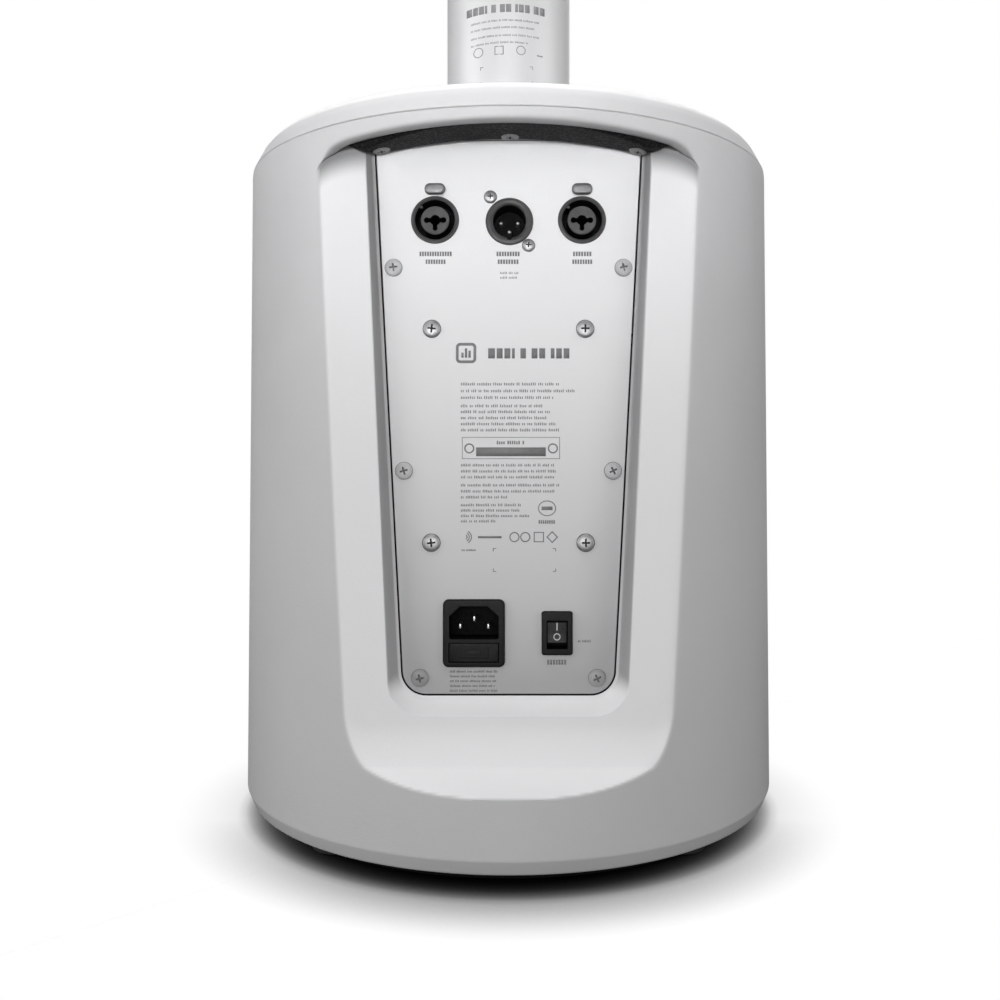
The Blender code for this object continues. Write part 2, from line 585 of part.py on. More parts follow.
def make_bass(mats):
    front = BAFFLE_Y + BAFFLE_T
    half = math.sqrt((BODY_R_TOP - BODY_WALL) ** 2 - front ** 2) - 0.002
    outline = rounded_rect(2 * half, BAFFLE_H, 0.004, 0, 0, 2)
    baffle = facing_front("baffle", prism("baffle", outline, 0, BAFFLE_T), mats["wood"],
                          BAFFLE_Y, BAFFLE_Z)
    hole = turned("cut_woofer", cylinder(WOOFER_HOLE_R, -0.02, 0.03), SEG_WOOFER)
    boolean(baffle, facing_front("cut_woofer", hole, None, BAFFLE_Y, WOOFER_Z))
    port = turned("cut_port", cylinder(PORT_HOLE_R, -0.02, 0.03), SEG_ROUND)
    boolean(baffle, facing_front("cut_port", port, None, BAFFLE_Y, PORT_Z, PORT_X))

    tube = [(0.0210, -0.080), (0.0232, -0.080), (0.0232, BAFFLE_T + GAP), (0.0290, BAFFLE_T + GAP),
            (0.0285, BAFFLE_T + 0.003), (0.0225, BAFFLE_T + 0.003), (0.0210, BAFFLE_T - 0.004)]
    facing_front("port_tube", turned("port_tube", tube, SEG_ROUND), mats["black"], BAFFLE_Y, PORT_Z, PORT_X)

    seat = BAFFLE_T + GAP
    basket = [(0.1025, seat), (0.1025, seat + 0.004), (0.0925, seat + 0.004), (0.0915, seat - 0.006),
              (0.0500, -0.046), (0.0500, -0.052), (0.0300, -0.052), (0.0300, -0.055),
              (0.0530, -0.055), (0.0530, -0.046), (0.0930, seat - 0.010), (0.0930, seat)]
    facing_front("woofer_frame", turned("woofer_frame", basket, SEG_WOOFER), mats["magnet"],
                 BAFFLE_Y, WOOFER_Z)
    magnet = [(0, -0.090), (0.0540, -0.090), (0.0560, -0.088), (0.0560, -0.0585), (0.0540, -0.0565),
              (0.0270, -0.0565), (0.0270, -0.0550), (0, -0.0550)]
    facing_front("woofer_magnet", turned("woofer_magnet", magnet, SEG_WOOFER), mats["magnet"],
                 BAFFLE_Y, WOOFER_Z)
    surround = [(0.0860, seat - 0.0030)] + arc(0.0885, seat - 0.0010, 0.0024, 0.0040, 170, 10, 5)
    surround += [(0.0912, seat - 0.0030)]
    facing_front("woofer_surround", turned("woofer_surround", surround, SEG_WOOFER), mats["rubber"],
                 BAFFLE_Y, WOOFER_Z)
    cone = [(0.0852, 0.0090), (0.0835, 0.0090), (0.0300, -0.0290), (0.0180, -0.0235),
            (0, -0.0215), (0, -0.0240), (0.0170, -0.0262), (0.0255, -0.0310), (0.0255, -0.0440),
            (0.0275, -0.0440), (0.0275, -0.0330), (0.0852, 0.0065)]
    facing_front("woofer_cone", turned("woofer_cone", cone, SEG_WOOFER), mats["cone"], BAFFLE_Y, WOOFER_Z)
    grille = sector("front_grille", *GRILLE_R, GRILLE_ANGLE - 0.4, GRILLE_LOW + 0.0007,
                    GRILLE_HIGH - 0.0007, 28)
    add("front_grille", grille, mats["grille"])


# ---- columns ------------------------------------------------------------
def make_column_socket(mats):
    cup = [(0.0390, SOCKET_FLOOR), (0.0390, TOP_Z + 0.0022), (0.0480, TOP_Z + 0.0022),
           (0.0490, TOP_Z + GAP), (0.0441, TOP_Z + GAP), (0.0441, SOCKET_FLOOR - 0.005),
           (0.0160, SOCKET_FLOOR - 0.005), (0.0160, SOCKET_FLOOR)]
    add("column_socket", turned("column_socket", cup, SEG_COLUMN), mats["black"])
    plug = [(0, SOCKET_FLOOR - 0.011), (0.0157, SOCKET_FLOOR - 0.011),
            (0.0157, SOCKET_FLOOR + 0.012), (0.0145, SOCKET_FLOOR + 0.014), (0, SOCKET_FLOOR + 0.014)]
    add("socket_connector", turned("socket_connector", plug), mats["black"])


def make_battery_column(mats):
    inner = COLUMN_R - COLUMN_WALL
    low = SOCKET_FLOOR + GAP
    tube = [(inner, low), (COLUMN_R, low), (COLUMN_R, COUPLER_Z), (inner, COUPLER_Z)]
    add("battery_tube", turned("battery_tube", tube, SEG_COLUMN), mats["shell"])
    core = inner - GAP
    plug = [(0.0162, low + GAP), (core, low + GAP), (core, low + 0.030), (0, low + 0.030),
            (0, low + 0.018), (0.0162, low + 0.018)]
    add("battery_end_plug", turned("battery_end_plug", plug), mats["black"])
    pack = cylinder(PACK_R, low + 0.034, COUPLER_Z - 0.060)
    add("battery_pack", turned("battery_pack", pack), mats["cell"])
    ring = COUPLER_Z + GAP
    coupler = [(0, ring - 0.030), (core, ring - 0.030), (core, ring), (COLUMN_R, ring),
               (COLUMN_R, ring + COUPLER_RING), (core, ring + COUPLER_RING),
               (core, ring + COUPLER_RISE), (core - 0.0015, ring + COUPLER_RISE + 0.0015),
               (0, ring + COUPLER_RISE + 0.0015)]
    add("column_coupler", turned("column_coupler", coupler, SEG_COLUMN), mats["black"])


def make_speaker_column(mats):
    inner = COLUMN_R - COLUMN_WALL
    low = COUPLER_Z + GAP * 2 + COUPLER_RING
    high = TOTAL_H - END_CAP_H
    tube = [(inner, low), (COLUMN_R, low), (COLUMN_R, high), (inner, high)]
    body = add("speaker_tube", turned("speaker_tube", tube, SEG_COLUMN), mats["shell"])
    window_low = DRIVER_FIRST_Z - WINDOW_PAST
    window_high = DRIVER_FIRST_Z + DRIVER_STEP * (DRIVER_COUNT - 1) + WINDOW_PAST
    outline = [(-WINDOW_HALF, 0.020), (WINDOW_HALF, 0.020), (WINDOW_HALF, 0.05), (-WINDOW_HALF, 0.05)]
    window = add("cut_column_window", prism("cut_column_window", outline, window_low, window_high))
    boolean(body, window)
    half = math.degrees(math.asin((WINDOW_HALF - 0.0006) / COLUMN_R))
    grille = sector("speaker_grille", 0.0371, COLUMN_R - 0.0002, half, window_low + GAP,
                    window_high - GAP, 12)
    add("speaker_grille", grille, mats["grille"])
    top = high + GAP
    cap = [(0, top - 0.012), (inner - GAP, top - 0.012), (inner - GAP, top), (COLUMN_R, top),
           (COLUMN_R, TOTAL_H - 0.003), (COLUMN_R - 0.003, TOTAL_H), (0, TOTAL_H)]
    add("column_end_cap", turned("column_end_cap", cap, SEG_COLUMN), mats["black"])
    for i in range(DRIVER_COUNT):
        make_column_driver(mats, i)


def make_column_driver(mats, index):
    """Small full-range driver: basket with magnet, and the cone that moves."""
    z = DRIVER_FIRST_Z + DRIVER_STEP * index
    frame = [(0.0300, -0.002), (0.0300, 0), (0.0262, 0), (0.0258, -0.006), (0.0130, -0.0170),
             (0.0130, -0.0205), (0, -0.0205), (0, -0.0400), (0.0210, -0.0400), (0.0210, -0.0225),
             (0.0150, -0.0180), (0.0275, -0.0065), (0.0275, -0.002)]
    name = f"driver_frame_{index + 1}"
    facing_front(name, turned(name, frame, SEG_DRIVER), mats["magnet"], DRIVER_Y, z)
    cone = [(0.0252, -0.0030), (0.0235, -0.0018), (0.0090, -0.0100), (0, -0.0075), (0, -0.0092),
            (0.0075, -0.0112), (0.0075, -0.0160), (0.0090, -0.0160), (0.0090, -0.0125)]
    cone.append((0.0238, -0.0042))
    name = f"driver_cone_{index + 1}"
    facing_front(name, turned(name, cone, SEG_DRIVER), mats["cone"], DRIVER_Y, z)


def leaning_frame(name, depth, tilt):
    """Empty on the rear of the cabinet: X right, Y up along the face, Z outward."""
    frame = bpy.data.objects.new(name, None)
    bpy.context.scene.collection.objects.link(frame)
    frame.location = (0, -depth, PANEL_Z)
    frame.rotation_euler = (math.pi / 2 - tilt, 0, 0)
    return frame


def main():
    clear_scene()
    mats = make_materials()
    rear = leaning_frame("rear_frame", PANEL_DEPTH, PANEL_TILT)
    recess = leaning_frame("recess_frame", RECESS_DEPTH, RECESS_TILT)
    make_shell(mats, rear, recess)
    make_cap(mats)
    make_base(mats)
    make_grip(mats)
    make_panel(mats, rear)
    make_screws(mats, rear)
    make_input_jacks(mats, rear)
    make_output_socket(mats, rear)
    make_mains_inlet(mats, rear)
    make_fuse_drawer(mats, rear)
    make_power_switch(mats, rear)
    make_electronics(mats, rear)
    make_bass(mats)
    make_column_socket(mats)
    make_battery_column(mats)
    make_speaker_column(mats)


main()
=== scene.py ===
"""Looks of the column PA system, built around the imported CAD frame. Metres, +Z up."""
import math
import random

import bmesh
import bpy
import numpy as np
from mathutils import Matrix, Vector


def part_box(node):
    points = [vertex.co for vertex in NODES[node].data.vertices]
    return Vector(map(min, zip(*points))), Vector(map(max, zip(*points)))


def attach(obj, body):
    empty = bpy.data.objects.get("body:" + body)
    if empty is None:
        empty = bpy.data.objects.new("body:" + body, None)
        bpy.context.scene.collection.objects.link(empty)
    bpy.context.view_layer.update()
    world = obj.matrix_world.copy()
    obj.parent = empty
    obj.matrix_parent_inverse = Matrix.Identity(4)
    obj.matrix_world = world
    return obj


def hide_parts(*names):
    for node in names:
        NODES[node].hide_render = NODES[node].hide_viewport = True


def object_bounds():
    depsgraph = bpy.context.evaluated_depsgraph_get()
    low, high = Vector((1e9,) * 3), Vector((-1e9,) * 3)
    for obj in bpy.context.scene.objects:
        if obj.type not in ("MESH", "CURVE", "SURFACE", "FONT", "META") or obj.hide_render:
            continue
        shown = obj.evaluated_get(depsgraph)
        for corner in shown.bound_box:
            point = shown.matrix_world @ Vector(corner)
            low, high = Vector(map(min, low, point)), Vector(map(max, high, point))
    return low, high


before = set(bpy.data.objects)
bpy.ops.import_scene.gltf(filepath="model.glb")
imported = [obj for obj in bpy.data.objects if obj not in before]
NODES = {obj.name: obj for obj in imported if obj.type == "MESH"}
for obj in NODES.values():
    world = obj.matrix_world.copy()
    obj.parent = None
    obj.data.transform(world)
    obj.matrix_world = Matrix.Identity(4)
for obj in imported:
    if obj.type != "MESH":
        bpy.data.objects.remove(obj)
CAD_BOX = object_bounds()

# ---- dimensions, worked out from the frame --------------------------------
SHELL_LOW, SHELL_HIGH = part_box("body_shell")
CAP_LOW, CAP_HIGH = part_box("top_cap")
PANEL_LOW, PANEL_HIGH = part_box("rear_panel")
TUBE_LOW, TUBE_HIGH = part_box("battery_tube")
SPEAKER_LOW, SPEAKER_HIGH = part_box("speaker_tube")

R_LOW = SHELL_HIGH[0]               # cabinet radius at its lowest crease
R_TOP = CAP_HIGH[0]                 # cabinet radius at the seam
BASE_Z = SHELL_LOW[2]
SEAM_Z = SHELL_HIGH[2]
TOP_Z = CAP_HIGH[2]
CHAMFER = 0.0074
COLUMN_R = TUBE_HIGH[0]
TOTAL_H = CAD_BOX[1][2]

TILT = math.radians(1.84)           # lean of the connector panel
PANEL_Z = 0.204
PANEL_DEPTH = 0.1228
PANEL_BOTTOM = -0.1143
PANEL_TOP = 0.1685
PANEL_HALF = 0.0591
PANEL_TAPER = 0.0536
PANEL_CORNER = 0.012
FLOOR_OUT = 0.0077                  # recess floor in front of the panel at mid height
FLOOR_LEAN = 0.0151                 # it comes closer to the panel toward the top
SCOOP = ((0.00963, -0.1279), (0.0100, -0.1383), (0.0150, -0.1473))   # distance out, up
SLOPE = ((0.0150, -0.1473), (0.0237, -0.1556), (0.0311, -0.1580))
SLOPE_RUN = 0.25
RECESS_HALF = 0.0834                # half width at the lower corners
RECESS_ROUND = 0.013
POCKET_GROW = (0.0018, 0.00413)     # pocket beside the panel: at its foot, added at its edge
POCKET_BELOW = (0.0018, 0.0075)
POCKET_TAPER = -0.00914
POCKET_CURVE = 1.6
GAP_RINGS = ((0.0008, 0.0), (0.0006, -0.0003), (0.0006, -0.0023))
LIP_Z = 0.3695                      # lower edge of the grip lip at its middle
LIP_SAG = 0.48
LIP_CORNER = (0.0800, 0.0165, 0.0130)   # start of the corner, its width and height
LIP_T = 0.005
SEAT_ANGLE = math.radians(60)       # seat of the front grille, to each side of the front
SEAT_LOW = 0.044
SEAT_HIGH = 0.346
SEAT_DEPTH = 0.0034
GRILLE_INSET = 0.0020
HOLE_SHARE = 0.74                   # hole across, for each unit of pitch
RECESS_EDGE = 0.0001                # the recess's painted light starts this deep under the wall
RECESS_BLEND = 0.0006
RECESS_SOFT = 0.0018                # rounding where the recess meets the wall
RECESS_BAND = (BASE_Z + 0.02, SEAM_Z - 0.001)   # heights between which the recess lies
UNDER_LIP_SHADE_REACH = 0.014                   # reach of the painted shade below the lip
UNDER_LIP_PAINTED_SHADE = 2.3
POCKET_PAINTED_SHADE = -1.0                  # painted shade on the pocket's side walls and on its ledge
LEDGE_PAINTED_SHADE = 0.0
WALL_VALUE = 0.56
# painted light: the recess gets a lighter tone than the wall
RECESS_PAINTED_LIGHT = 0.80
PANEL_PAINTED_SHADING = ((0.0, 0.41), (0.16, 0.56), (0.5, 0.75), (1.0, 0.92))   # painted light and shade, lighter at the top: share of the height, tone
# painted highlight over the cap's rounded edge: share of the height, tone
CAP_PAINTED_HIGHLIGHT = ((0.0, 0.57), (0.42, 0.62), (0.68, 0.86), (1.0, 0.98))
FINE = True

CAMERA_LENS = 36.0                  # as long as the sensor is wide
CAMERA_SHIFT = (-0.0085, -0.032)
CAMERA_PLACE = (0, -4 * 0.158, 0.204)   # four cabinet radii behind the axis
FLOOR_RANGE = (0.75, 1.4, 0.10, 0.85)   # floor tone met by the object's rays, near to far
SHADOW_REACH = 0.045
CONTACT_REACH = 0.014
CONTACT_POWER = 1.6
SHADOW_RANGE = (-0.17, -0.05, 2.0, 0.4)   # contact shadow: power in front and beside

TO_PANEL = (Matrix.Translation((0, -PANEL_DEPTH, PANEL_Z))
            @ Matrix.Rotation(math.pi / 2 - TILT, 4, "X"))
FROM_PANEL = TO_PANEL.inverted()


# ---- mesh tools -----------------------------------------------------------
def new_object(name, mesh, mat, body, matrix=None, sharp=32):
    """Object in world space that rides on a body; its place is in its mesh."""
    if matrix is not None:
        mesh.transform(matrix)
    obj = link_object(name, mesh)
    for item in mat if isinstance(mat, (list, tuple)) else [mat]:
        mesh.materials.append(item)
    mesh.shade_smooth()
    mesh.set_sharp_from_angle(angle=math.radians(sharp))
    if body:
        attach(obj, body)
    return obj


def link_object(name, data):
    obj = bpy.data.objects.new(name, data)
    bpy.context.scene.collection.objects.link(obj)
    return obj


def add_piece(slot, node, *args, **more):
    """New object in place of a CAD node where one is named; the slot argument is not used."""
    obj = new_object(*args, **more)
    if node:
        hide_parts(node)
    return obj


def make_mesh(name, verts, faces, recalc=True):
    mesh = bpy.data.meshes.new(name)
    mesh.from_pydata([tuple(v) for v in verts], [], faces)
    if recalc:
        work = bmesh.new()
        work.from_mesh(mesh)
        bmesh.ops.recalc_face_normals(work, faces=work.faces)
        work.to_mesh(mesh)
        work.free()
    return mesh


def arc(cx, cy, rx, ry, start, end, steps):
    angles = [math.radians(start + (end - start) * i / steps) for i in range(steps + 1)]
    return [(cx + rx * math.cos(a), cy + ry * math.sin(a)) for a in angles]


def rounded_rect(width, height, radius, cx=0.0, cy=0.0, steps=6):
    points = []
    for sx, sy, start in ((1, -1, -90), (1, 1, 0), (-1, 1, 90), (-1, -1, 180)):
        x = cx + sx * (width / 2 - radius)
        y = cy + sy * (height / 2 - radius)
        points += arc(x, y, radius, radius, start, start + 90, steps)
    return points


def loft(name, rings, close=True):
    """Skin through rings of equal point count, with flat end caps when closed."""
    count = len(rings[0])
    verts = [point for ring in rings for point in ring]
    faces = []
    if close:
        faces.append(tuple(range(count)))
        faces.append(tuple(range((len(rings) - 1) * count, len(rings) * count)))
    for level in range(len(rings) - 1):
        low = level * count
        for i in range(count):
            j = (i + 1) % count
            faces.append((low + i, low + j, low + count + j, low + count + i))
    return make_mesh(name, verts, faces)


def slab(name, outline, low, high, bevel=0.0, steps=3):
    """Flat plate whose upper edge is rounded off inward by bevel."""
    cx = sum(x for x, _ in outline) / len(outline)
    cy = sum(y for _, y in outline) / len(outline)
    half_w = max(abs(x - cx) for x, _ in outline)
    half_h = max(abs(y - cy) for _, y in outline)

    def shrunk(by):
        sx = 1 - by / half_w
        sy = 1 - by / half_h
        return [(cx + (x - cx) * sx, cy + (y - cy) * sy) for x, y in outline]

    levels = [(low, 0.0)]
    if bevel:
        for i in range(steps + 1):
            a = math.pi / 2 * i / steps
            levels.append((high - bevel + bevel * math.sin(a), bevel * (1 - math.cos(a))))
    else:
        levels.append((high, 0.0))
    return loft(name, [[(x, y, z) for x, y in shrunk(by)] for z, by in levels])


def tile(rect, low, high, bevel=0.0, steps=3):
    """Slab on a rounded rectangle: width, height, corner radius, centre and corner steps."""
    return slab("tile", rounded_rect(*rect), low, high, bevel, steps)


def turned(name, profile, segments=64):
    """Solid of revolution about Z from a closed outline of (radius, height)."""
    verts = []
    rows = []
    for radius, height in profile:
        if radius <= 0.0:
            rows.append([len(verts)] * segments)
            verts.append((0.0, 0.0, height))
            continue
        rows.append(list(range(len(verts), len(verts) + segments)))
        for i in range(segments):
            a = 2 * math.pi * i / segments
            verts.append((radius * math.cos(a), radius * math.sin(a), height))
    faces = []
    for k, row in enumerate(rows):
        after = rows[(k + 1) % len(rows)]
        for i in range(segments):
            j = (i + 1) % segments
            ring = []
            for index in (row[i], row[j], after[j], after[i]):
                if index not in ring:
                    ring.append(index)
            if len(ring) > 2:
                faces.append(tuple(ring))
    return make_mesh(name, verts, faces)


def applied(host, helpers=()):
    """Mesh of an object with its modifiers applied; it and its helpers are removed."""
    bpy.context.view_layer.update()
    deps = bpy.context.evaluated_depsgraph_get()
    result = bpy.data.meshes.new_from_object(host.evaluated_get(deps))
    for obj in (host, *helpers):
        bpy.data.objects.remove(obj, do_unlink=True)
    return result


def cut(mesh, tools, operation="DIFFERENCE"):
    """Mesh with each tool mesh subtracted or joined."""
    host = link_object("host", mesh)
    helpers = []
    for tool in tools:
        helper = link_object("tool", tool)
        helpers.append(helper)
        mod = host.modifiers.new("cut", "BOOLEAN")
        mod.object = helper
        mod.operation = operation
        mod.solver = "EXACT"
    return applied(host, helpers)


def moved(mesh, x=0.0, y=0.0, z=0.0, turn=0.0):
    mesh.transform(Matrix.Translation((x, y, z)) @ Matrix.Rotation(turn, 4, "Z"))
    return mesh


def merged(name, meshes):
    work = bmesh.new()
    for mesh in meshes:
        work.from_mesh(mesh)
    result = bpy.data.meshes.new(name)
    work.to_mesh(result)
    work.free()
    return result


def marked(mesh, test):
    """Second material on every face whose centre passes a test."""
    for face in mesh.polygons:
        if test(*face.center):
            face.material_index = 1
    return mesh


def rod(radius, low, high, x=0.0, y=0.0, segments=32):
    profile = [(0, low), (radius, low), (radius, high), (0, high)]
    return moved(turned("rod", profile, segments), x, y)


# ---- materials ------------------------------------------------------------
class Look:
    """Small helper that wires a Principled material with noise, colour and bump."""

    def __init__(self, name, color, roughness, metallic=0.0):
        self.mat = bpy.data.materials.new(name)
        self.mat.use_nodes = True
        self.tree = self.mat.node_tree
        self.shader = self.tree.nodes["Principled BSDF"]
        self.shader.inputs["Base Color"].default_value = (*color, 1.0)
        self.shader.inputs["Roughness"].default_value = roughness
        self.shader.inputs["Metallic"].default_value = metallic
        self.coord = self.add("ShaderNodeTexCoord").outputs["Object"]
        self.normal = None

    def add(self, kind, **values):
        node = self.tree.nodes.new(kind)
        for key, value in values.items():
            setattr(node, key, value)
        return node

    def link(self, a, b):
        self.tree.links.new(a, b)

    def noise(self, size, detail=3.0, stretch=None):
        node = self.add("ShaderNodeTexNoise")
        node.inputs["Scale"].default_value = 1.0 / size
        node.inputs["Detail"].default_value = detail
        source = self.coord
        if stretch:
            mapping = self.add("ShaderNodeMapping")
            mapping.inputs["Scale"].default_value = stretch
            self.link(source, mapping.inputs["Vector"])
            source = mapping.outputs["Vector"]
        self.link(source, node.inputs["Vector"])
        return node.outputs["Fac"]

    def cells(self, size, feature="F1"):
        node = self.add("ShaderNodeTexVoronoi", feature=feature)
        node.inputs["Scale"].default_value = 1.0 / size
        self.link(self.coord, node.inputs["Vector"])
        return node.outputs["Distance"]

    def remap(self, source, low, high):
        node = self.add("ShaderNodeMapRange")
        node.inputs["From Min"].default_value = 0.3
        node.inputs["From Max"].default_value = 0.7
        node.inputs["To Min"].default_value = low
        node.inputs["To Max"].default_value = high
        self.link(source, node.inputs["Value"])
        return node.outputs["Result"]

    def tint(self, source, dark, light):
        node = self.add("ShaderNodeValToRGB")
        node.color_ramp.elements[0].position = 0.3
        node.color_ramp.elements[1].position = 0.7
        node.color_ramp.elements[0].color = (*dark, 1.0)
        node.color_ramp.elements[1].color = (*light, 1.0)
        self.link(source, node.inputs["Fac"])
        self.link(node.outputs["Color"], self.shader.inputs["Base Color"])

    def rough(self, source, low, high):
        self.link(self.remap(source, low, high), self.shader.inputs["Roughness"])

    def bump(self, source, height, strength=1.0):
        node = self.add("ShaderNodeBump")
        node.inputs["Strength"].default_value = strength
        node.inputs["Distance"].default_value = height
        self.link(source, node.inputs["Height"])
        if self.normal is not None:
            self.link(self.normal, node.inputs["Normal"])
        self.normal = node.outputs["Normal"]
        self.link(self.normal, self.shader.inputs["Normal"])


def shade(value):
    """Neutral grey with a trace of blue."""
    return (value, value, value * 1.012)


def shell_look():
    """Fine textured plastic, light grey outside, with painted light that makes it nearly white in the
    recess and painted shade under the lip and round the pocket.
    """
    look = Look("white_shell", shade(WALL_VALUE), 0.5)
    look.tint(look.noise(0.05, 5.0), shade(WALL_VALUE * 0.98), shade(WALL_VALUE * 1.02))
    outside = look.shader.inputs["Base Color"].links[0].from_socket
    # the recess attribute holds the skin's painted light and painted shade
    depth = look.add("ShaderNodeAttribute", attribute_name="recess")
    blend = look.add("ShaderNodeMix", data_type="RGBA", clamp_factor=False)
    look.link(depth.outputs["Fac"], blend.inputs["Factor"])
    look.link(outside, blend.inputs[6])
    blend.inputs[7].default_value = (*shade(RECESS_PAINTED_LIGHT), 1.0)
    look.link(blend.outputs[2], look.shader.inputs["Base Color"])
    look.rough(look.noise(0.0012, 4.0), 0.46, 0.60)
    look.bump(look.cells(0.0011), 0.00010, 0.4)
    look.bump(look.noise(0.0028, 4.0), 0.00010, 0.3)
    return look.mat


def height_ramp(look, low, high, stops):
    """Base colour that changes with height, through (share of the height, value) stops."""
    axes = look.add("ShaderNodeSeparateXYZ")
    look.link(look.coord, axes.inputs["Vector"])
    span = look.add("ShaderNodeMapRange")
    span.inputs["From Min"].default_value = low
    span.inputs["From Max"].default_value = high
    look.link(axes.outputs["Z"], span.inputs["Value"])
    ramp = look.add("ShaderNodeValToRGB")
    look.link(span.outputs["Result"], ramp.inputs["Fac"])
    for place, _ in stops[1:-1]:
        ramp.color_ramp.elements.new(place)
    for element, (place, value) in zip(ramp.color_ramp.elements, stops):
        element.position = place
        element.color = (*shade(value), 1.0)
    look.link(ramp.outputs["Color"], look.shader.inputs["Base Color"])
    return ramp


def cap_look():
    """Same plastic as the shell, with a painted highlight that makes it nearly white over the rounded
    edge.
    """
    look = Look("white_cap", shade(0.56), 0.45)
    height_ramp(look, TOP_Z - 0.0088, TOP_Z, CAP_PAINTED_HIGHLIGHT)
    look.rough(look.noise(0.0012, 4.0), 0.42, 0.55)
    look.bump(look.cells(0.0011), 0.00010, 0.4)
    return look.mat


def panel_look():
    """Satin paint with painted light and shade: nearly white at the top, grey at the bottom."""
    look = Look("panel_paint", shade(0.76), 0.42)
    ramp = height_ramp(look, PANEL_LOW[2], PANEL_HIGH[2], PANEL_PAINTED_SHADING)
    ramp.color_ramp.interpolation = "B_SPLINE"
    look.rough(look.noise(0.0008, 4.0), 0.38, 0.46)
    look.bump(look.cells(0.0006), 0.00005, 0.45)
    return look.mat


def tube_look():
    look = Look("column_paint", shade(0.62), 0.38, 0.25)
    look.tint(look.noise(0.06, 4.0), shade(0.605), shade(0.635))
    look.rough(look.noise(0.0009, 4.0), 0.34, 0.46)
    look.bump(look.cells(0.0007), 0.00005, 0.4)
    return look.mat


def black_look(name, value, rough_low, rough_high, grain, height, gloss=0.5):
    look = Look(name, shade(value), rough_low)
    look.shader.inputs["Specular IOR Level"].default_value = gloss
    look.tint(look.noise(0.01, 4.0), shade(value * 0.85), shade(value * 1.2))
    look.rough(look.noise(grain * 1.5, 4.0), rough_low, rough_high)
    look.bump(look.cells(grain), height, 0.5)
    return look.mat


def grip_look():
    """Black moulding with a coarse speckled grain."""
    look = Look("grip_texture", shade(0.012), 0.6)
    look.shader.inputs["Specular IOR Level"].default_value = 0.1
    look.tint(look.cells(0.0011), shade(0.003), shade(0.016))
    look.rough(look.noise(0.0016, 4.0), 0.5, 0.75)
    look.bump(look.cells(0.0011), 0.0006, 0.8)
    return look.mat


def metal_look(name, value, rough_low, rough_high, stretch=None):
    look = Look(name, (value, value * 0.985, value * 0.955), rough_low, 1.0)
    look.tint(look.noise(0.004, 4.0), shade(value * 0.92), shade(value * 1.04))
    look.rough(look.noise(0.0015, 5.0, stretch), rough_low, rough_high)
    look.bump(look.noise(0.0009, 4.0, stretch), 0.00003, 0.4)
    return look.mat


def print_look():
    look = Look("grey_print", shade(0.22), 0.6)
    look.tint(look.noise(0.002, 3.0), shade(0.205), shade(0.235))
    look.rough(look.noise(0.0006, 3.0), 0.52, 0.66)
    return look.mat


def board_look():
    look = Look("circuit_board", (0.03, 0.12, 0.05), 0.45)
    look.tint(look.cells(0.004), (0.02, 0.09, 0.04), (0.05, 0.17, 0.07))
    look.bump(look.noise(0.003, 3.0), 0.0002, 0.5)
    return look.mat


def wood_look():
    look = Look("fibreboard", (0.34, 0.24, 0.14), 0.75)
    look.tint(look.noise(0.003, 6.0), (0.28, 0.19, 0.11), (0.40, 0.29, 0.18))
    look.bump(look.noise(0.001, 5.0), 0.0003, 0.6)
    return look.mat


def cone_look():
    look = Look("pressed_paper", shade(0.03), 0.85)
    look.tint(look.noise(0.002, 6.0), shade(0.022), shade(0.045))
    look.bump(look.noise(0.0012, 6.0), 0.0002, 0.6)
    return look.mat


def sleeve_look():
    look = Look("shrink_sleeve", (0.05, 0.16, 0.42), 0.3)
    look.tint(look.noise(0.02, 3.0), (0.04, 0.13, 0.36), (0.06, 0.19, 0.48))
    look.bump(look.noise(0.006, 3.0), 0.0004, 0.5)
    return look.mat


MAT = {
    "shell": shell_look(),
    "cap": cap_look(),
    "panel": panel_look(),
    "tube": tube_look(),
    "plastic": black_look("black_plastic", 0.007, 0.38, 0.52, 0.0007, 0.00005, 0.18),
    "gloss": black_look("black_gloss", 0.050, 0.26, 0.34, 0.0015, 0.00001),
    "grip": grip_look(),
    "rubber": black_look("foot_rubber", 0.02, 0.7, 0.85, 0.0009, 0.0001),
    # painted shade: near black for holes, wells and gaps
    "void_shade": black_look("painted_shade_black", 0.004, 0.6, 0.75, 0.001, 0.00003, 0.1),
    "ring": black_look("connector_ring", 0.062, 0.34, 0.46, 0.0008, 0.00003, 0.3),
    "insert": black_look("contact_carrier", 0.080, 0.42, 0.55, 0.0007, 0.00004, 0.3),
    "screw": black_look("screw_paint", 0.50, 0.38, 0.48, 0.0008, 0.00002),
    # painted shade: a darker copy of the screw paint for the lowest screws
    "screw_low": black_look("screw_grey", 0.30, 0.38, 0.48, 0.0008, 0.00002),
    "nickel": metal_look("nickel", 0.46, 0.40, 0.54),
    "latch": metal_look("latch_steel", 0.25, 0.42, 0.60),
    # painted shade in the screw recesses and in the thin ring round each head
    "pit": black_look("screw_pit", 0.05, 0.6, 0.7, 0.0008, 0.00002, 0.2),
    "soft_pit": black_look("paint_pit_shade", 0.24, 0.6, 0.7, 0.0008, 0.00002, 0.2),
    "pin": metal_look("contact_silver", 0.62, 0.28, 0.40),
    "dark_metal": metal_look("coated_steel", 0.16, 0.40, 0.60),
    "aluminium": metal_look("aluminium", 0.72, 0.30, 0.45, (1, 1, 0.1)),
    "grille": black_look("grille_paint", 0.60, 0.40, 0.52, 0.0008, 0.00004),
    "print": print_look(),
    "mark": black_look("white_mark", 0.75, 0.5, 0.6, 0.0008, 0.00001),
    "foam": black_look("foam_backing", 0.012, 0.85, 0.95, 0.0012, 0.0005),
    "board": board_look(),
    "wood": wood_look(),
    "cone": cone_look(),
    "cell": sleeve_look(),
}


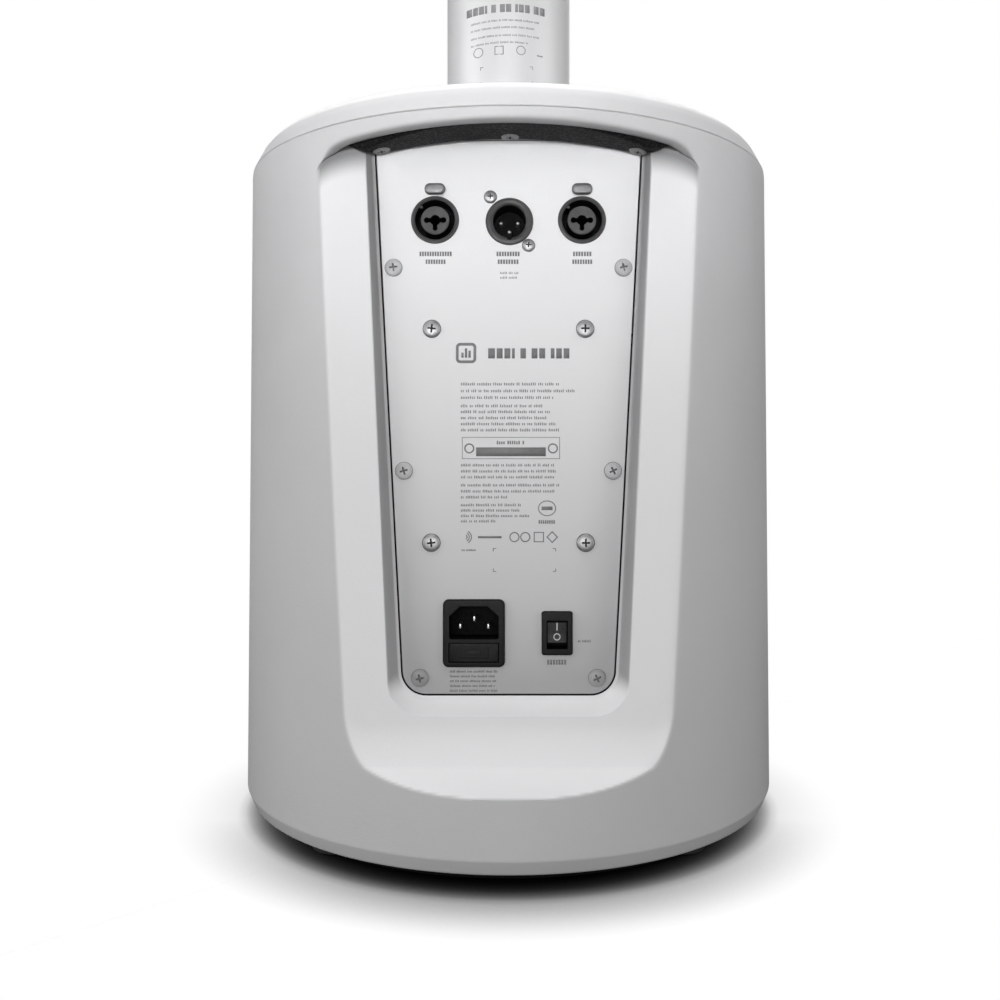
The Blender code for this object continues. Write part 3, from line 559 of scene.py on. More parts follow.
# ---- cabinet shell ----------------------------------------------------------
def soft_min(a, b, k):
    h = np.maximum(k - np.abs(a - b), 0.0) / k
    return np.minimum(a, b) - h * h * k * 0.25


def wall_radius(z):
    """Outer radius of the plain cabinet wall, which narrows toward the top."""
    share = (z - BASE_Z - CHAMFER) / (SEAM_Z - BASE_Z - CHAMFER)
    return R_LOW + (R_TOP - R_LOW) * share


def curve_out(points, up):
    """Distance out at which a quadratic curve passes a height."""
    (x0, y0), (x1, y1), (x2, y2) = points
    low, high = 0.0, 1.0
    for _ in range(20):
        t = (low + high) / 2
        if y0 * (1 - t) ** 2 + y1 * 2 * t * (1 - t) + y2 * t * t > up:
            low = t
        else:
            high = t
    return x0 * (1 - t) ** 2 + x1 * 2 * t * (1 - t) + x2 * t * t


def scoop_out(up):
    """Distance of the recess surface in front of the panel plane at a height."""
    if up >= SCOOP[0][1]:
        return FLOOR_OUT - FLOOR_LEAN * up
    if up >= SLOPE[0][1]:
        return curve_out(SCOOP, up)
    if up >= SLOPE[2][1]:
        return curve_out(SLOPE, up)
    return SLOPE[2][0] + (SLOPE[2][1] - up) / SLOPE_RUN


def floor_out(side, up):
    """Recess surface in front of the panel plane, its lower corners rounded off."""
    over = min(max(side - RECESS_HALF + RECESS_ROUND, 0.0), RECESS_ROUND * 0.99)
    rise = RECESS_ROUND - math.sqrt(RECESS_ROUND ** 2 - over ** 2)
    if up - rise >= SCOOP[0][1]:
        return scoop_out(up)
    return scoop_out(up - rise) - FLOOR_LEAN * rise


def recess_radius(angle, z):
    """Radius at which the recess surface lies along a direction from the axis."""
    radius = 0.14
    out = FLOOR_OUT
    rise = z - PANEL_Z
    for _ in range(6):
        side = abs(radius * math.sin(angle))
        up = rise / math.cos(TILT) - out * math.tan(TILT)
        if side >= RECESS_HALF and up < SCOOP[0][1] + RECESS_ROUND:
            return 1.0
        out = floor_out(side, up)
        depth = PANEL_DEPTH - rise * math.tan(TILT) + out / math.cos(TILT)
        radius = depth / math.cos(angle)
    return radius


def floor_radius(angle, z):
    """Soft blend of the plain wall and the recess."""
    wall = wall_radius(z)
    if math.cos(angle) < 0.70:
        return wall
    return float(soft_min(np.array(wall), np.array(recess_radius(angle, z)),
                          RECESS_SOFT))


def lip_height(angle):
    """Lower edge of the grip lip, with the recess's two round upper corners."""
    side = abs(0.1545 * math.sin(angle))
    start, width, height = LIP_CORNER
    over = min(max(side - start, 0.0), width * 0.995) / width
    return LIP_Z - LIP_SAG * side * side - height * (1 - math.sqrt(1 - over * over))


def shell_columns():
    """Directions round the axis, closer together across the recess."""
    step = 0.30 if FINE else 0.8
    count = int(40 / step)
    inner = [-40 + 80 * i / (2 * count) for i in range(2 * count + 1)]
    outer = [40 + 280 * i / 160 for i in range(1, 160)] + [119.99, 120.01, 239.99, 240.01]
    return [math.radians(a) for a in inner + sorted(outer)]


def shell_heights():
    """Heights of the wall's rows up to the start of the lip."""
    fine = 0.0008 if FINE else 0.002
    low = BASE_Z + CHAMFER + 0.0006
    rows = list(np.arange(low, 0.092, fine))
    rows += list(np.linspace(0.092, 0.340, 63 if FINE else 32))
    return rows


def front_rows(turn, count, top):
    """Rows of a front column, stepped inward over the seat of the grille."""
    low = BASE_Z + CHAMFER + 0.0006
    heights = list(np.linspace(low, SEAT_LOW, 12))
    heights += list(np.linspace(SEAT_LOW + 0.00002, SEAT_HIGH - 0.00002, count - 16))
    heights += list(np.linspace(SEAT_HIGH, top, 4))
    rows = []
    for z in heights:
        inside = turn < SEAT_ANGLE - 0.0001 and SEAT_LOW + 0.00001 < z < SEAT_HIGH - 0.00001
        rows.append((wall_radius(z) - (SEAT_DEPTH if inside else 0.0), z))
    return rows


def shell_column(angle):
    """Outline of the shell along one direction, bottom centre to top inside."""
    cosine, sine = math.sin(angle), -math.cos(angle)
    foot = R_LOW - 0.0030
    points = [(foot - 0.030, BASE_Z), (foot - 0.0005, BASE_Z), (foot, BASE_Z + 0.0004)]
    points += [(foot + 0.0005, BASE_Z + 0.0014), (R_LOW - 0.0003, BASE_Z + CHAMFER - 0.0006),
               (R_LOW - 0.00005, BASE_Z + CHAMFER)]
    body = [(floor_radius(angle, z), z) for z in shell_heights()]

    lip = lip_height(angle)
    steps = 22 if FINE else 10
    for i in range(1, steps + 1):
        z = 0.340 + (lip - 0.0012 - 0.340) * i / steps
        body.append((floor_radius(angle, z), z))
    turn = abs(angle - math.pi)
    if turn < SEAT_ANGLE + 0.03:
        body = front_rows(turn, len(body), lip - 0.0012)
    points += body
    floor = points[-1][0]
    wall = wall_radius(lip)
    share = smooth((wall - floor) / 0.007)
    inner = max(floor, wall - LIP_T * share)
    ceiling = SEAM_Z - 0.0003

    def lifted(z):
        return lip + (z - lip) * share

    points += [(floor, lifted(ceiling - 0.004)), (floor, lifted(ceiling))]
    points += [(inner, lifted(ceiling)), (inner, lifted(lip + 0.0012))]
    round_in = min(0.0010, (wall - inner) * 0.2)
    round_out = min(0.0034, (wall - inner) * 0.68)
    points += [(inner + round_in * 0.3, lifted(lip + 0.0003)), (inner + round_in, lip)]
    for i in range(1, 7):
        a = math.radians(-90 + 15 * i)
        points.append((wall - round_out + round_out * math.cos(a),
                       lip + round_out * (1 + math.sin(a))))
    top = lip + round_out
    for i in range(1, 5):
        z = top + (SEAM_Z - 0.0009 - top) * i / 4
        points.append((wall_radius(z), z))
    edge = R_TOP
    points += [(edge - 0.0001, SEAM_Z - 0.0002), (edge - 0.0004, SEAM_Z), (edge - 0.0040, SEAM_Z)]
    return [(r * cosine, r * sine, z) for r, z in points]


def panel_outline(grow=0.0, below=None, taper=0.0, top=PANEL_TOP, steps=14):
    """Tapered panel outline with round corners, grown by a margin."""
    below = grow if below is None else below
    bottom = PANEL_BOTTOM - below
    corner = PANEL_CORNER + max(grow, -0.006)
    upper = 0.004 + max(grow, 0.0)

    def half(up):
        return PANEL_HALF + (PANEL_TAPER + taper) * up + grow

    peak = top + max(grow, -0.001) * 0.15
    right = arc(half(bottom + corner) - corner, bottom + corner, corner, corner, -90, 0, steps)
    right += arc(half(peak) - upper, peak - upper, upper, upper, 0, 90, 6)
    return right + [(-x, y) for x, y in reversed(right)]


def point_in(outline, x, y):
    inside = False
    for (x0, y0), (x1, y1) in zip(outline, outline[1:] + outline[:1]):
        if (y0 > y) != (y1 > y) and x < (x1 - x0) * (y - y0) / (y1 - y0) + x0:
            inside = not inside
    return inside


def pocket_ring(share, margin=0.0):
    """Outline of the pocket round the panel, from its foot at 0 to its edge at 1."""
    grow = POCKET_GROW[0] + POCKET_GROW[1] * share + margin
    below = POCKET_BELOW[0] + POCKET_BELOW[1] * share + margin
    outline = panel_outline(grow, below, POCKET_TAPER * share)
    return [(x, y, floor_out(abs(x), y) * share ** POCKET_CURVE) for x, y in outline]


def smooth(value):
    value = min(1.0, max(0.0, value))
    return value * value * (3 - 2 * value)


def recess_painted_light_and_shade(place):
    """Painted light and shade of the shell: 0 on the wall, 1 for the painted light in the recess, lower
    for painted shade in its deep corners.
    """
    if place.y > 0 or not RECESS_BAND[0] < place.z < RECESS_BAND[1]:
        return 0.0
    lip = lip_height(math.atan2(place.x, -place.y))
    deep = wall_radius(place.z) - math.hypot(place.x, place.y)
    # painted shade on the lower rounding of the lip
    if place.z > lip - 0.0002:
        return -smooth(deep / 0.0012)
    share = smooth((deep - RECESS_EDGE) / RECESS_BLEND)
    # painted shade just below the lip
    share *= 1 - UNDER_LIP_PAINTED_SHADE * (1 - smooth((lip - place.z) / UNDER_LIP_SHADE_REACH))
    local = FROM_PANEL @ place
    floor = floor_out(abs(local.x), local.y)
    # painted shade on the pocket's side walls and on its ledge
    if local.z < floor - 0.0004 and deep > 0.006:
        height = (max(local.z, 0.0) / floor) ** (1 / POCKET_CURVE)
        beside = smooth((local.y - PANEL_BOTTOM) / PANEL_CORNER)
        wall = 1 - (1 - POCKET_PAINTED_SHADE) * beside * smooth((1 - height) / 0.12)
        share = min(share, wall if height > 0.06 else LEDGE_PAINTED_SHADE + (1 - LEDGE_PAINTED_SHADE) * (1 - beside))
    return share


def make_shell():
    columns = shell_columns()
    rings = [shell_column(a) for a in columns]
    rows = len(rings[0])
    verts = [p for ring in rings for p in ring]
    outer = [(x, y) for x, y, _ in pocket_ring(1.0, 0.0016)]
    inside = []
    for x, y, z in verts:
        local = FROM_PANEL @ Vector((x, y, z))
        on_floor = abs(local.z - floor_out(abs(local.x), local.y)) < 0.0004
        inside.append(on_floor and point_in(outer, local.x, local.y))
    faces = []
    count = len(columns)
    for c in range(count):
        d = (c + 1) % count
        for k in range(rows - 1):
            quad = (c * rows + k, d * rows + k, d * rows + k + 1, c * rows + k + 1)
            if not all(inside[i] for i in quad):
                faces.append(quad)
    work = bmesh.new()
    made = [work.verts.new(v) for v in verts]
    for quad in faces:
        work.faces.new([made[i] for i in quad])
    bmesh.ops.dissolve_degenerate(work, dist=0.00002, edges=work.edges)
    bmesh.ops.remove_doubles(work, verts=work.verts, dist=0.00003)
    loose = [v for v in work.verts if not v.link_faces]
    bmesh.ops.delete(work, geom=loose, context="VERTS")

    rim = [e for e in work.edges if len(e.link_faces) == 1]
    rim = [e for e in rim if RECESS_BAND[0] < e.verts[0].co.z < RECESS_BAND[1]
           and (FROM_PANEL @ e.verts[0].co).z < FLOOR_OUT + 0.004]
    levels = [pocket_ring(1 - i / 8) for i in range(9)]
    levels += [[(x, y, out) for x, y in panel_outline(grow, grow)] for grow, out in GAP_RINGS]
    ring_verts = [[work.verts.new(TO_PANEL @ Vector(point)) for point in ring] for ring in levels]
    first = ring_verts[0]
    size = len(first)
    loop = [work.edges.new((first[i], first[(i + 1) % size])) for i in range(size)]
    bmesh.ops.triangle_fill(work, edges=rim + loop, use_beauty=True)
    for a, b in zip(ring_verts, ring_verts[1:]):
        for i in range(size):
            j = (i + 1) % size
            face = work.faces.new((a[i], a[j], b[j], b[i]))
            # the last two rings, the gap round the panel, take the near-black painted shade
            face.material_index = int(b in ring_verts[-2:])
    bmesh.ops.recalc_face_normals(work, faces=work.faces)
    mesh = bpy.data.meshes.new("cabinet_skin")
    work.to_mesh(mesh)
    work.free()
    skin = new_object("cabinet_skin", mesh, (MAT["shell"], MAT["void_shade"]), "cabinet", sharp=50)
    # painted light in the recess and painted shade under the lip and round the pocket, kept per vertex
    painted_shading = mesh.attributes.new("recess", "FLOAT", "POINT")
    for vert, item in zip(mesh.vertices, painted_shading.data):
        item.value = recess_painted_light_and_shade(vert.co)
    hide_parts("body_shell")


def make_cap():
    low = CAP_LOW[2] + 0.0063
    crown = [(0.1440, TOP_Z), (0.1462, TOP_Z - 0.0006), (0.1480, TOP_Z - 0.0017),
             (0.1498, TOP_Z - 0.0034), (0.1514, TOP_Z - 0.0054), (0.1527, TOP_Z - 0.0079)]
    edge = [(0.1532, TOP_Z - 0.0088), (R_TOP - 0.0002, low + 0.0005), (R_TOP - 0.0003, low + 0.0002),
            (R_TOP - 0.0006, low)]
    profile = [(0.1200, low), (0.1200, TOP_Z - 0.005), (0.0500, TOP_Z - 0.005),
               (0.0500, low - 0.004), (0.0447, low - 0.004), (0.0447, TOP_Z - 0.0004),
               (0.0451, TOP_Z), (0.1380, TOP_Z)] + crown + edge
    add_piece("shell", "top_cap", "cap_skin", turned("cap_skin", profile, 240), MAT["cap"], "cabinet")


def make_plinth():
    low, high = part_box("base_plinth")
    top = high[2]
    profile = [(0, low[2]), (0.1440, low[2]), (0.1452, low[2] + 0.0008), (0.1503, top - 0.0006),
               (0.1500, top), (0, top)]
    add_piece("black_plastic", "base_plinth", "plinth_skin", turned("plinth_skin", profile, 160),
              MAT["plastic"], "cabinet")
    for i in range(1, 5):
        low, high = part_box(f"rubber_foot_{i}")
        profile = [(0, 0), (0.0122, 0), (0.0134, 0.0004), (0.0139, 0.0012), (0.0139, 0.0034),
                   (0.0013, 0.0034), (0.0013, 0.0130), (0, 0.0130)]
        mesh = moved(turned("foot", profile, 40), (low[0] + high[0]) / 2, (low[1] + high[1]) / 2)
        add_piece("rubber", f"rubber_foot_{i}", f"foot_skin_{i}", mesh, MAT["rubber"], "cabinet")


# ---- grip insert ------------------------------------------------------------
def arch_z(x):
    """Height of the insert's lower face: an arch whose two ends sweep up again."""
    side = abs(x)
    rise = max(0.0, side - 0.0715)
    return 0.3721 - side * side / (2 * 0.294) + min(0.66 * rise, 0.0105)


def make_grip():
    """Arched black underside of the grip, its front and rear edges rolled up a little."""
    radius = 0.1511
    half = 0.0863
    columns = 64
    rows = 12
    verts = []
    for i in range(columns + 1):
        x = -half + 2 * half * i / columns
        front = -math.sqrt(radius * radius - x * x)
        back = -0.1185 - 0.0055 * smooth((abs(x) - 0.0660) / 0.0040)
        column = []
        for k in range(rows + 1):
            t = k / rows
            y = back + (front - back) * t
            edge = min(t, 1 - t) * abs(front - back)
            roll = 0.0012 * (1 - min(1.0, edge / 0.0016)) ** 2
            column.append((x, y, arch_z(x) + roll))
        column.append((x, front, SEAM_Z - 0.0006))
        column.append((x, back, SEAM_Z - 0.0006))
        verts.append(column)
    insert = loft("grip_skin", verts)
    add_piece("black_plastic", "grip_insert", "grip_skin", insert, MAT["grip"], "cabinet", sharp=40)
    for i, x in enumerate((-0.0646, 0.0008, 0.0658)):
        mesh = screw_mesh(0.0046, 0.0009, 0.0030)
        y = -0.1242
        lean = math.atan(x / 0.294)
        place = (Matrix.Translation((x, y, arch_z(x) + 0.0003)) @ Matrix.Rotation(lean, 4, "Y")
                 @ Matrix.Rotation(math.pi, 4, "X"))
        add_piece("nickel", None, f"grip_screw_{i + 1}", mesh, (MAT["latch"], MAT["pit"]), "cabinet",
                  place)


# ---- fasteners ----------------------------------------------------------------
def screw_mesh(head_r, head_h, shank, turn=0.0):
    """Pan head with a cross recess, standing on z = 0 in a thin ring of painted shade, shank downward.
    """
    def dome(r):
        return head_h * (0.32 + 0.68 * math.sqrt(max(0.0, 1 - (r / head_r) ** 2)) ** 0.7)

    rim = head_r + 0.00028
    profile = [(0, head_h)]
    for i in range(1, 9):
        r = head_r * math.sin(math.radians(90 * i / 8))
        profile.append((r, dome(r)))
    profile += [(head_r, 0.00012), (rim, 0.00012), (rim, 0.0), (head_r * 0.42, 0.0),
                (head_r * 0.42, -shank), (0, -shank)]
    arm = head_r * 0.58
    width = head_r * 0.105
    deep = head_h * 0.15
    tools = []
    for angle in (turn, turn + math.pi / 2):
        rings = []
        for z, scale in ((deep, 0.45), (head_h + 0.001, 1.12)):
            rings.append([(x * scale, y, z) for x, y in
                          ((-arm, -width), (arm, -width), (arm, width), (-arm, width))])
        tools.append(moved(loft("arm", rings), turn=angle))
    mesh = cut(turned("screw", profile, 40), tools)

    # faces for the second material, painted shade: the cross recess and the ring round the head
    def dark(x, y, z):
        r = math.hypot(x, y)
        return 0 < z < 0.0002 if r > head_r * 0.97 else 0 < z < dome(r) - 0.00012

    return marked(mesh, dark)


def make_panel_screws():
    groups = (("panel_screw", 6, "screw", 0.0043, 0.0019, "panel"),
              ("heatsink_screw", 4, "nickel", 0.0044, 0.0019, "nickel"),
              ("output_screw", 2, "nickel", 0.0031, 0.0016, "nickel"))
    rng = random.Random(5)
    for kind, count, look, head_r, head_h, slot in groups:
        for i in range(1, count + 1):
            node = f"{kind}_{i}"
            low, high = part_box(node)
            centre = FROM_PANEL @ ((Vector(low) + Vector(high)) / 2)
            turn = rng.uniform(-0.5, 0.5) if kind == "panel_screw" else rng.uniform(-0.1, 0.1)
            mesh = screw_mesh(head_r, head_h, 0.0045, turn)
            mesh = moved(mesh, centre.x, centre.y, 0.00005)
            # the lower painted screws take the darker copy of their paint as painted shade
            face = "screw_low" if look == "screw" and centre.y < -0.08 else look
            pit = MAT["soft_pit"] if look == "screw" else MAT["pit"]
            add_piece(slot, node, f"{node}_skin", mesh, (MAT[face], pit), "cabinet", TO_PANEL)


# ---- connector panel ----------------------------------------------------------
JACKS = {"left": (-0.0377, 0.1274), "right": (0.0377, 0.1274)}
OUTPUT = (0.0005, 0.1266)
INLET = (-0.0175, -0.0836)
ROCKER = (0.0246, -0.0836)
TAB_UP = 0.0155


def make_panel():
    rings = []
    for out, grow in ((-0.0020, 0.0), (-0.0004, 0.0), (-0.0002, -0.00006), (-0.00006, -0.0002),
                      (0.0, -0.0004)):
        rings.append([(x, y, out) for x, y in panel_outline(grow)])
    plate = loft("panel_plate", rings)
    tools = [rod(0.0115, -0.01, 0.01, x, y, 48) for x, y in (*JACKS.values(), OUTPUT)]
    tools += [tile((0.0064, 0.0030, 0.0006, x, y + TAB_UP), -0.01, 0.01)
              for x, y in JACKS.values()]
    tools.append(tile((0.0280, 0.0310, 0.0010, *INLET), -0.01, 0.01))
    tools.append(tile((0.0132, 0.0194, 0.0006, *ROCKER), -0.01, 0.01))
    add_piece("panel", "rear_panel", "panel_skin", cut(plate, tools), MAT["panel"], "cabinet", TO_PANEL)


def make_jack(label):
    """Combined plug and jack socket: ring, annular gap painted black as shade, and contact carrier."""
    x, y = JACKS[label]
    ring = [(0.0102, -0.0105), (0.0102, 0.0003), (0.0105, 0.0009), (0.0112, 0.0013),
            (0.0119, 0.0011), (0.0123, 0.0005), (0.0124, 0.00005), (0.0113, 0.00005),
            (0.0113, -0.0270), (0.0, -0.0270), (0.0, -0.0262), (0.0045, -0.0262), (0.0045, -0.0105)]
    ring = moved(turned("jack", ring, 72), x, y)
    key = tile((0.0014, 0.0014, 0.0002, x - 0.0070, y + 0.0066), -0.0105, 0.0002)
    # faces deep in the socket are painted black as shade
    ring = marked(merged("jack", [ring, key]), lambda px, py, z: z < -0.0012)
    add_piece("black_plastic", f"input_jack_{label}", f"jack_ring_{label}", ring,
              (MAT["ring"], MAT["void_shade"]), "cabinet", TO_PANEL)
    core = [(0.0026, -0.0230), (0.0026, -0.0007), (0.0028, -0.0004), (0.0070, -0.0004),
            (0.0073, -0.0006), (0.0074, -0.0009), (0.0074, -0.0104), (0.0048, -0.0104),
            (0.0048, -0.0230)]
    core = moved(turned("core", core, 64), x, y)
    holes = [rod(r, -0.0095, 0.01, x + dx, y + dy, 20)
             for r, dx, dy in ((0.0015, -0.0043, 0.0), (0.0015, 0.0043, 0.0), (0.0013, 0.0, -0.0042))]
    holes.append(tile((0.0086, 0.0022, 0.0001, x, y), -0.0095, 0.01))
    holes.append(tile((0.0022, 0.0042, 0.0001, x, y - 0.0021), -0.0095, 0.01))
    # faces deep in the socket are painted black as shade
    core = marked(cut(core, holes), lambda px, py, z: z < -0.0012)
    add_piece("black_plastic", None, f"jack_core_{label}", core, (MAT["insert"], MAT["void_shade"]),
              "cabinet", TO_PANEL)


def make_tab(label):
    """Domed metal latch button with a thin strip along its lower side."""
    x, y = JACKS[label]
    y += TAB_UP
    head = tile((0.0106, 0.0058, 0.0027, x, y, 8), 0.0016, 0.0033, 0.0013, 5)
    strip = tile((0.0056, 0.0010, 0.0003, x, y - 0.0023), 0.0016, 0.0024)
    stem = tile((0.0056, 0.0023, 0.0004, x, y), -0.0055, 0.0018)
    mesh = cut(head, [stem, strip], "UNION")
    add_piece("nickel", f"release_tab_{label}", f"tab_skin_{label}", mesh, MAT["latch"],
              f"release_tab_{label}", TO_PANEL)


def make_output():
    """Male three-pole socket with a wide flush ring and three pins."""
    x, y = OUTPUT
    shell = [(0.0084, -0.0140), (0.0084, -0.0002), (0.0087, 0.0006), (0.0094, 0.0011),
             (0.0107, 0.0013), (0.0117, 0.0010), (0.0122, 0.0004), (0.0123, 0.00005),
             (0.0113, 0.00005), (0.0113, -0.0220), (0.0, -0.0220), (0.0, -0.0140)]
    shell = moved(turned("output", shell, 72), x, y)
    notch = tile((0.0022, 0.0024, 0.0004, x, y - 0.0086), -0.006, 0.01)
    # faces deep in the socket are painted black as shade
    shell = marked(cut(shell, [notch]), lambda px, py, z: z < -0.0008)
    add_piece("black_plastic", "output_socket", "output_shell", shell, (MAT["ring"], MAT["void_shade"]),
              "cabinet", TO_PANEL)
    pins = []
    for dx, dy in ((-0.0045, 0.0003), (0.0045, 0.0003), (0.0, -0.0042)):
        profile = [(0, -0.0136), (0.0011, -0.0136), (0.0011, -0.0050), (0.0009, -0.0044),
                   (0.0005, -0.0041), (0, -0.0040)]
        pins.append(moved(turned("pin", profile, 20), x + dx, y + dy))
    add_piece("nickel", "output_pins", "output_pins_skin", merged("pins", pins), MAT["pin"], "cabinet",
              TO_PANEL)
    # the carrier deep in the socket is painted black as shade
    disc = [(0, -0.0139), (0.0080, -0.0139), (0.0080, -0.0112), (0, -0.0112)]
    add_piece("black_plastic", None, "pin_carrier", moved(turned("carrier", disc, 48), x, y),
              MAT["void_shade"], "cabinet", TO_PANEL)


def inlet_outline():
    """Opening of the mains inlet: upper corners cut off, lower ones slightly round."""
    cx, cy = INLET
    top = cy + 0.0137
    bottom = cy - 0.0030
    half = 0.01255
    r = 0.0010
    right = arc(cx + half - r, bottom + r, r, r, -90, 0, 3)
    right += [(cx + half, top - 0.0050), (cx + half - 0.0056, top)]
    return right + [(2 * cx - x, y) for x, y in reversed(right)]


def make_inlet():
    cx, cy = INLET
    bezel = tile((0.0314, 0.0342, 0.0030, cx, cy, 8), 0.00005, 0.0021, 0.0008, 4)
    block = tile((0.0274, 0.0304, 0.0008, cx, cy), -0.0270, 0.0010)
    cavity = loft("cavity", [[(x, y, z) for x, y in inlet_outline()] for z in (-0.0165, 0.0050)])
    bay = tile((0.0256, 0.0100, 0.0006, cx, cy - 0.0097), -0.0240, 0.01)
    mesh = cut(cut(bezel, [block], "UNION"), [cavity, bay])
    # the inside of the inlet's opening is painted black as shade
    mesh = marked(mesh, lambda x, y, z: abs(x - cx) < 0.0130 and abs(y - cy) < 0.0150 and z < 0.0012)
    add_piece("black_plastic", "mains_inlet", "inlet_skin", mesh, (MAT["plastic"], MAT["void_shade"]),
              "cabinet", TO_PANEL)
    blades = []
    for dx, dy in ((-0.0072, 0.0029), (0.0, 0.0068), (0.0072, 0.0029)):
        outline = rounded_rect(0.0013, 0.0028, 0.0004, cx + dx, cy + dy, 3)
        blades.append(slab("blade", outline, -0.0160, -0.0036, 0.0004))
    add_piece("nickel", "mains_contacts", "inlet_blades", merged("blades", blades), MAT["pin"],
              "cabinet", TO_PANEL)


def make_drawer():
    """Fuse drawer with a raised frame, a fuse outline and a notch for a blade."""
    cx, cy = INLET
    cy -= 0.0097
    face = tile((0.0250, 0.0094, 0.0006, cx, cy), -0.0006, 0.0016, 0.0003)
    body = tile((0.0230, 0.0078, 0.0004, cx, cy), -0.0230, 0.0)
    mesh = cut(face, [body], "UNION")
    frame_out = tile((0.0150, 0.0058, 0.0005, cx, cy), 0.0010, 0.0019, 0.0002)
    frame_in = tile((0.0138, 0.0046, 0.0004, cx, cy), 0.00152, 0.0040)
    bars = [tile((w, h, 0.0001, cx + dx, cy), 0.0010, 0.0018, 0.0001)
            for w, h, dx in ((0.0070, 0.0022, 0.0), (0.0018, 0.0005, 0.0046), (0.0018, 0.0005, -0.0046))]
    notch = tile((0.0060, 0.0010, 0.0003, cx, cy - 0.0046), 0.0004, 0.0040)
    mesh = cut(cut(cut(mesh, [frame_out], "UNION"), [frame_in, notch]), bars, "UNION")
    add_piece("black_plastic", "fuse_drawer", "drawer_skin", mesh, MAT["plastic"], "fuse_drawer",
              TO_PANEL)


def rocker_height(up):
    """Face of the rocker over its pivot: nearly flat, a little dished."""
    return 0.0029 + 0.0004 * abs(up / 0.006) ** 1.25


def make_switch():
    cx, cy = ROCKER
    bezel = tile((0.0157, 0.0222, 0.0014, cx, cy, 6), 0.00005, 0.0020, 0.0007, 4)
    block = tile((0.0128, 0.0190, 0.0005, cx, cy), -0.0200, 0.0010)
    well = tile((0.0107, 0.0145, 0.0006, cx, cy - 0.00075), -0.0125, 0.01)
    frame_mesh = cut(cut(bezel, [block], "UNION"), [well])
    # the inside of the well is painted black as shade
    frame_mesh = marked(frame_mesh, lambda x, y, z: abs(x - cx) < 0.0055 and z < 0.0012)
    add_piece("black_plastic", "rocker_bezel", "bezel_skin", frame_mesh, (MAT["plastic"], MAT["void_shade"]),
              "cabinet", TO_PANEL)

    # rocker section across its pivot: a shallow dished face over a round belly
    middle, half = 0.0006, 0.0052
    face = [middle + half * (1 - i / 8) for i in range(17)]
    section = [(up, rocker_height(up)) for up in face] + arc(middle, 0, half, half, 180, 360, 14)
    rings = []
    for x, inset in ((-0.0050, 0.0004), (-0.0048, 0.0001), (-0.0045, 0.0), (0.0045, 0.0),
                     (0.0048, 0.0001), (0.0050, 0.0004)):
        rings.append([(x, up * (1 - inset / 0.007), out - inset) for up, out in section])
    pose = TO_PANEL @ Matrix.Translation((cx, cy, -0.0036)) @ Matrix.Rotation(math.radians(8), 4, "X")
    add_piece("black_plastic", "power_rocker", "rocker_skin", loft("rocker", rings), MAT["gloss"],
              "power_rocker", pose, 25)

    marks = []
    for i in range(5):
        low = 0.00156 + 0.0008 * i
        verts = [(x, up, rocker_height(up) + 0.00004)
                 for x, up in ((-0.00035, low), (0.00035, low), (0.00035, low + 0.0008),
                               (-0.00035, low + 0.0008))]
        marks.append(make_mesh("mark", verts, [(0, 1, 2, 3)]))
    verts = []
    faces = []
    for i in range(28):
        a = 2 * math.pi * i / 28
        for r in (0.00130, 0.00185):
            up = -0.0017 + r * math.sin(a)
            verts.append((r * math.cos(a), up, rocker_height(up) + 0.00004))
        j = (i + 1) % 28
        faces.append((2 * i, 2 * i + 1, 2 * j + 1, 2 * j))
    marks.append(make_mesh("mark", verts, faces))
    mesh = merged("rocker_marks", marks)
    marks = new_object("rocker_marks", mesh, MAT["mark"], "power_rocker", pose)
    solid = marks.modifiers.new("thick", "SOLIDIFY")
    solid.thickness = 0.00005


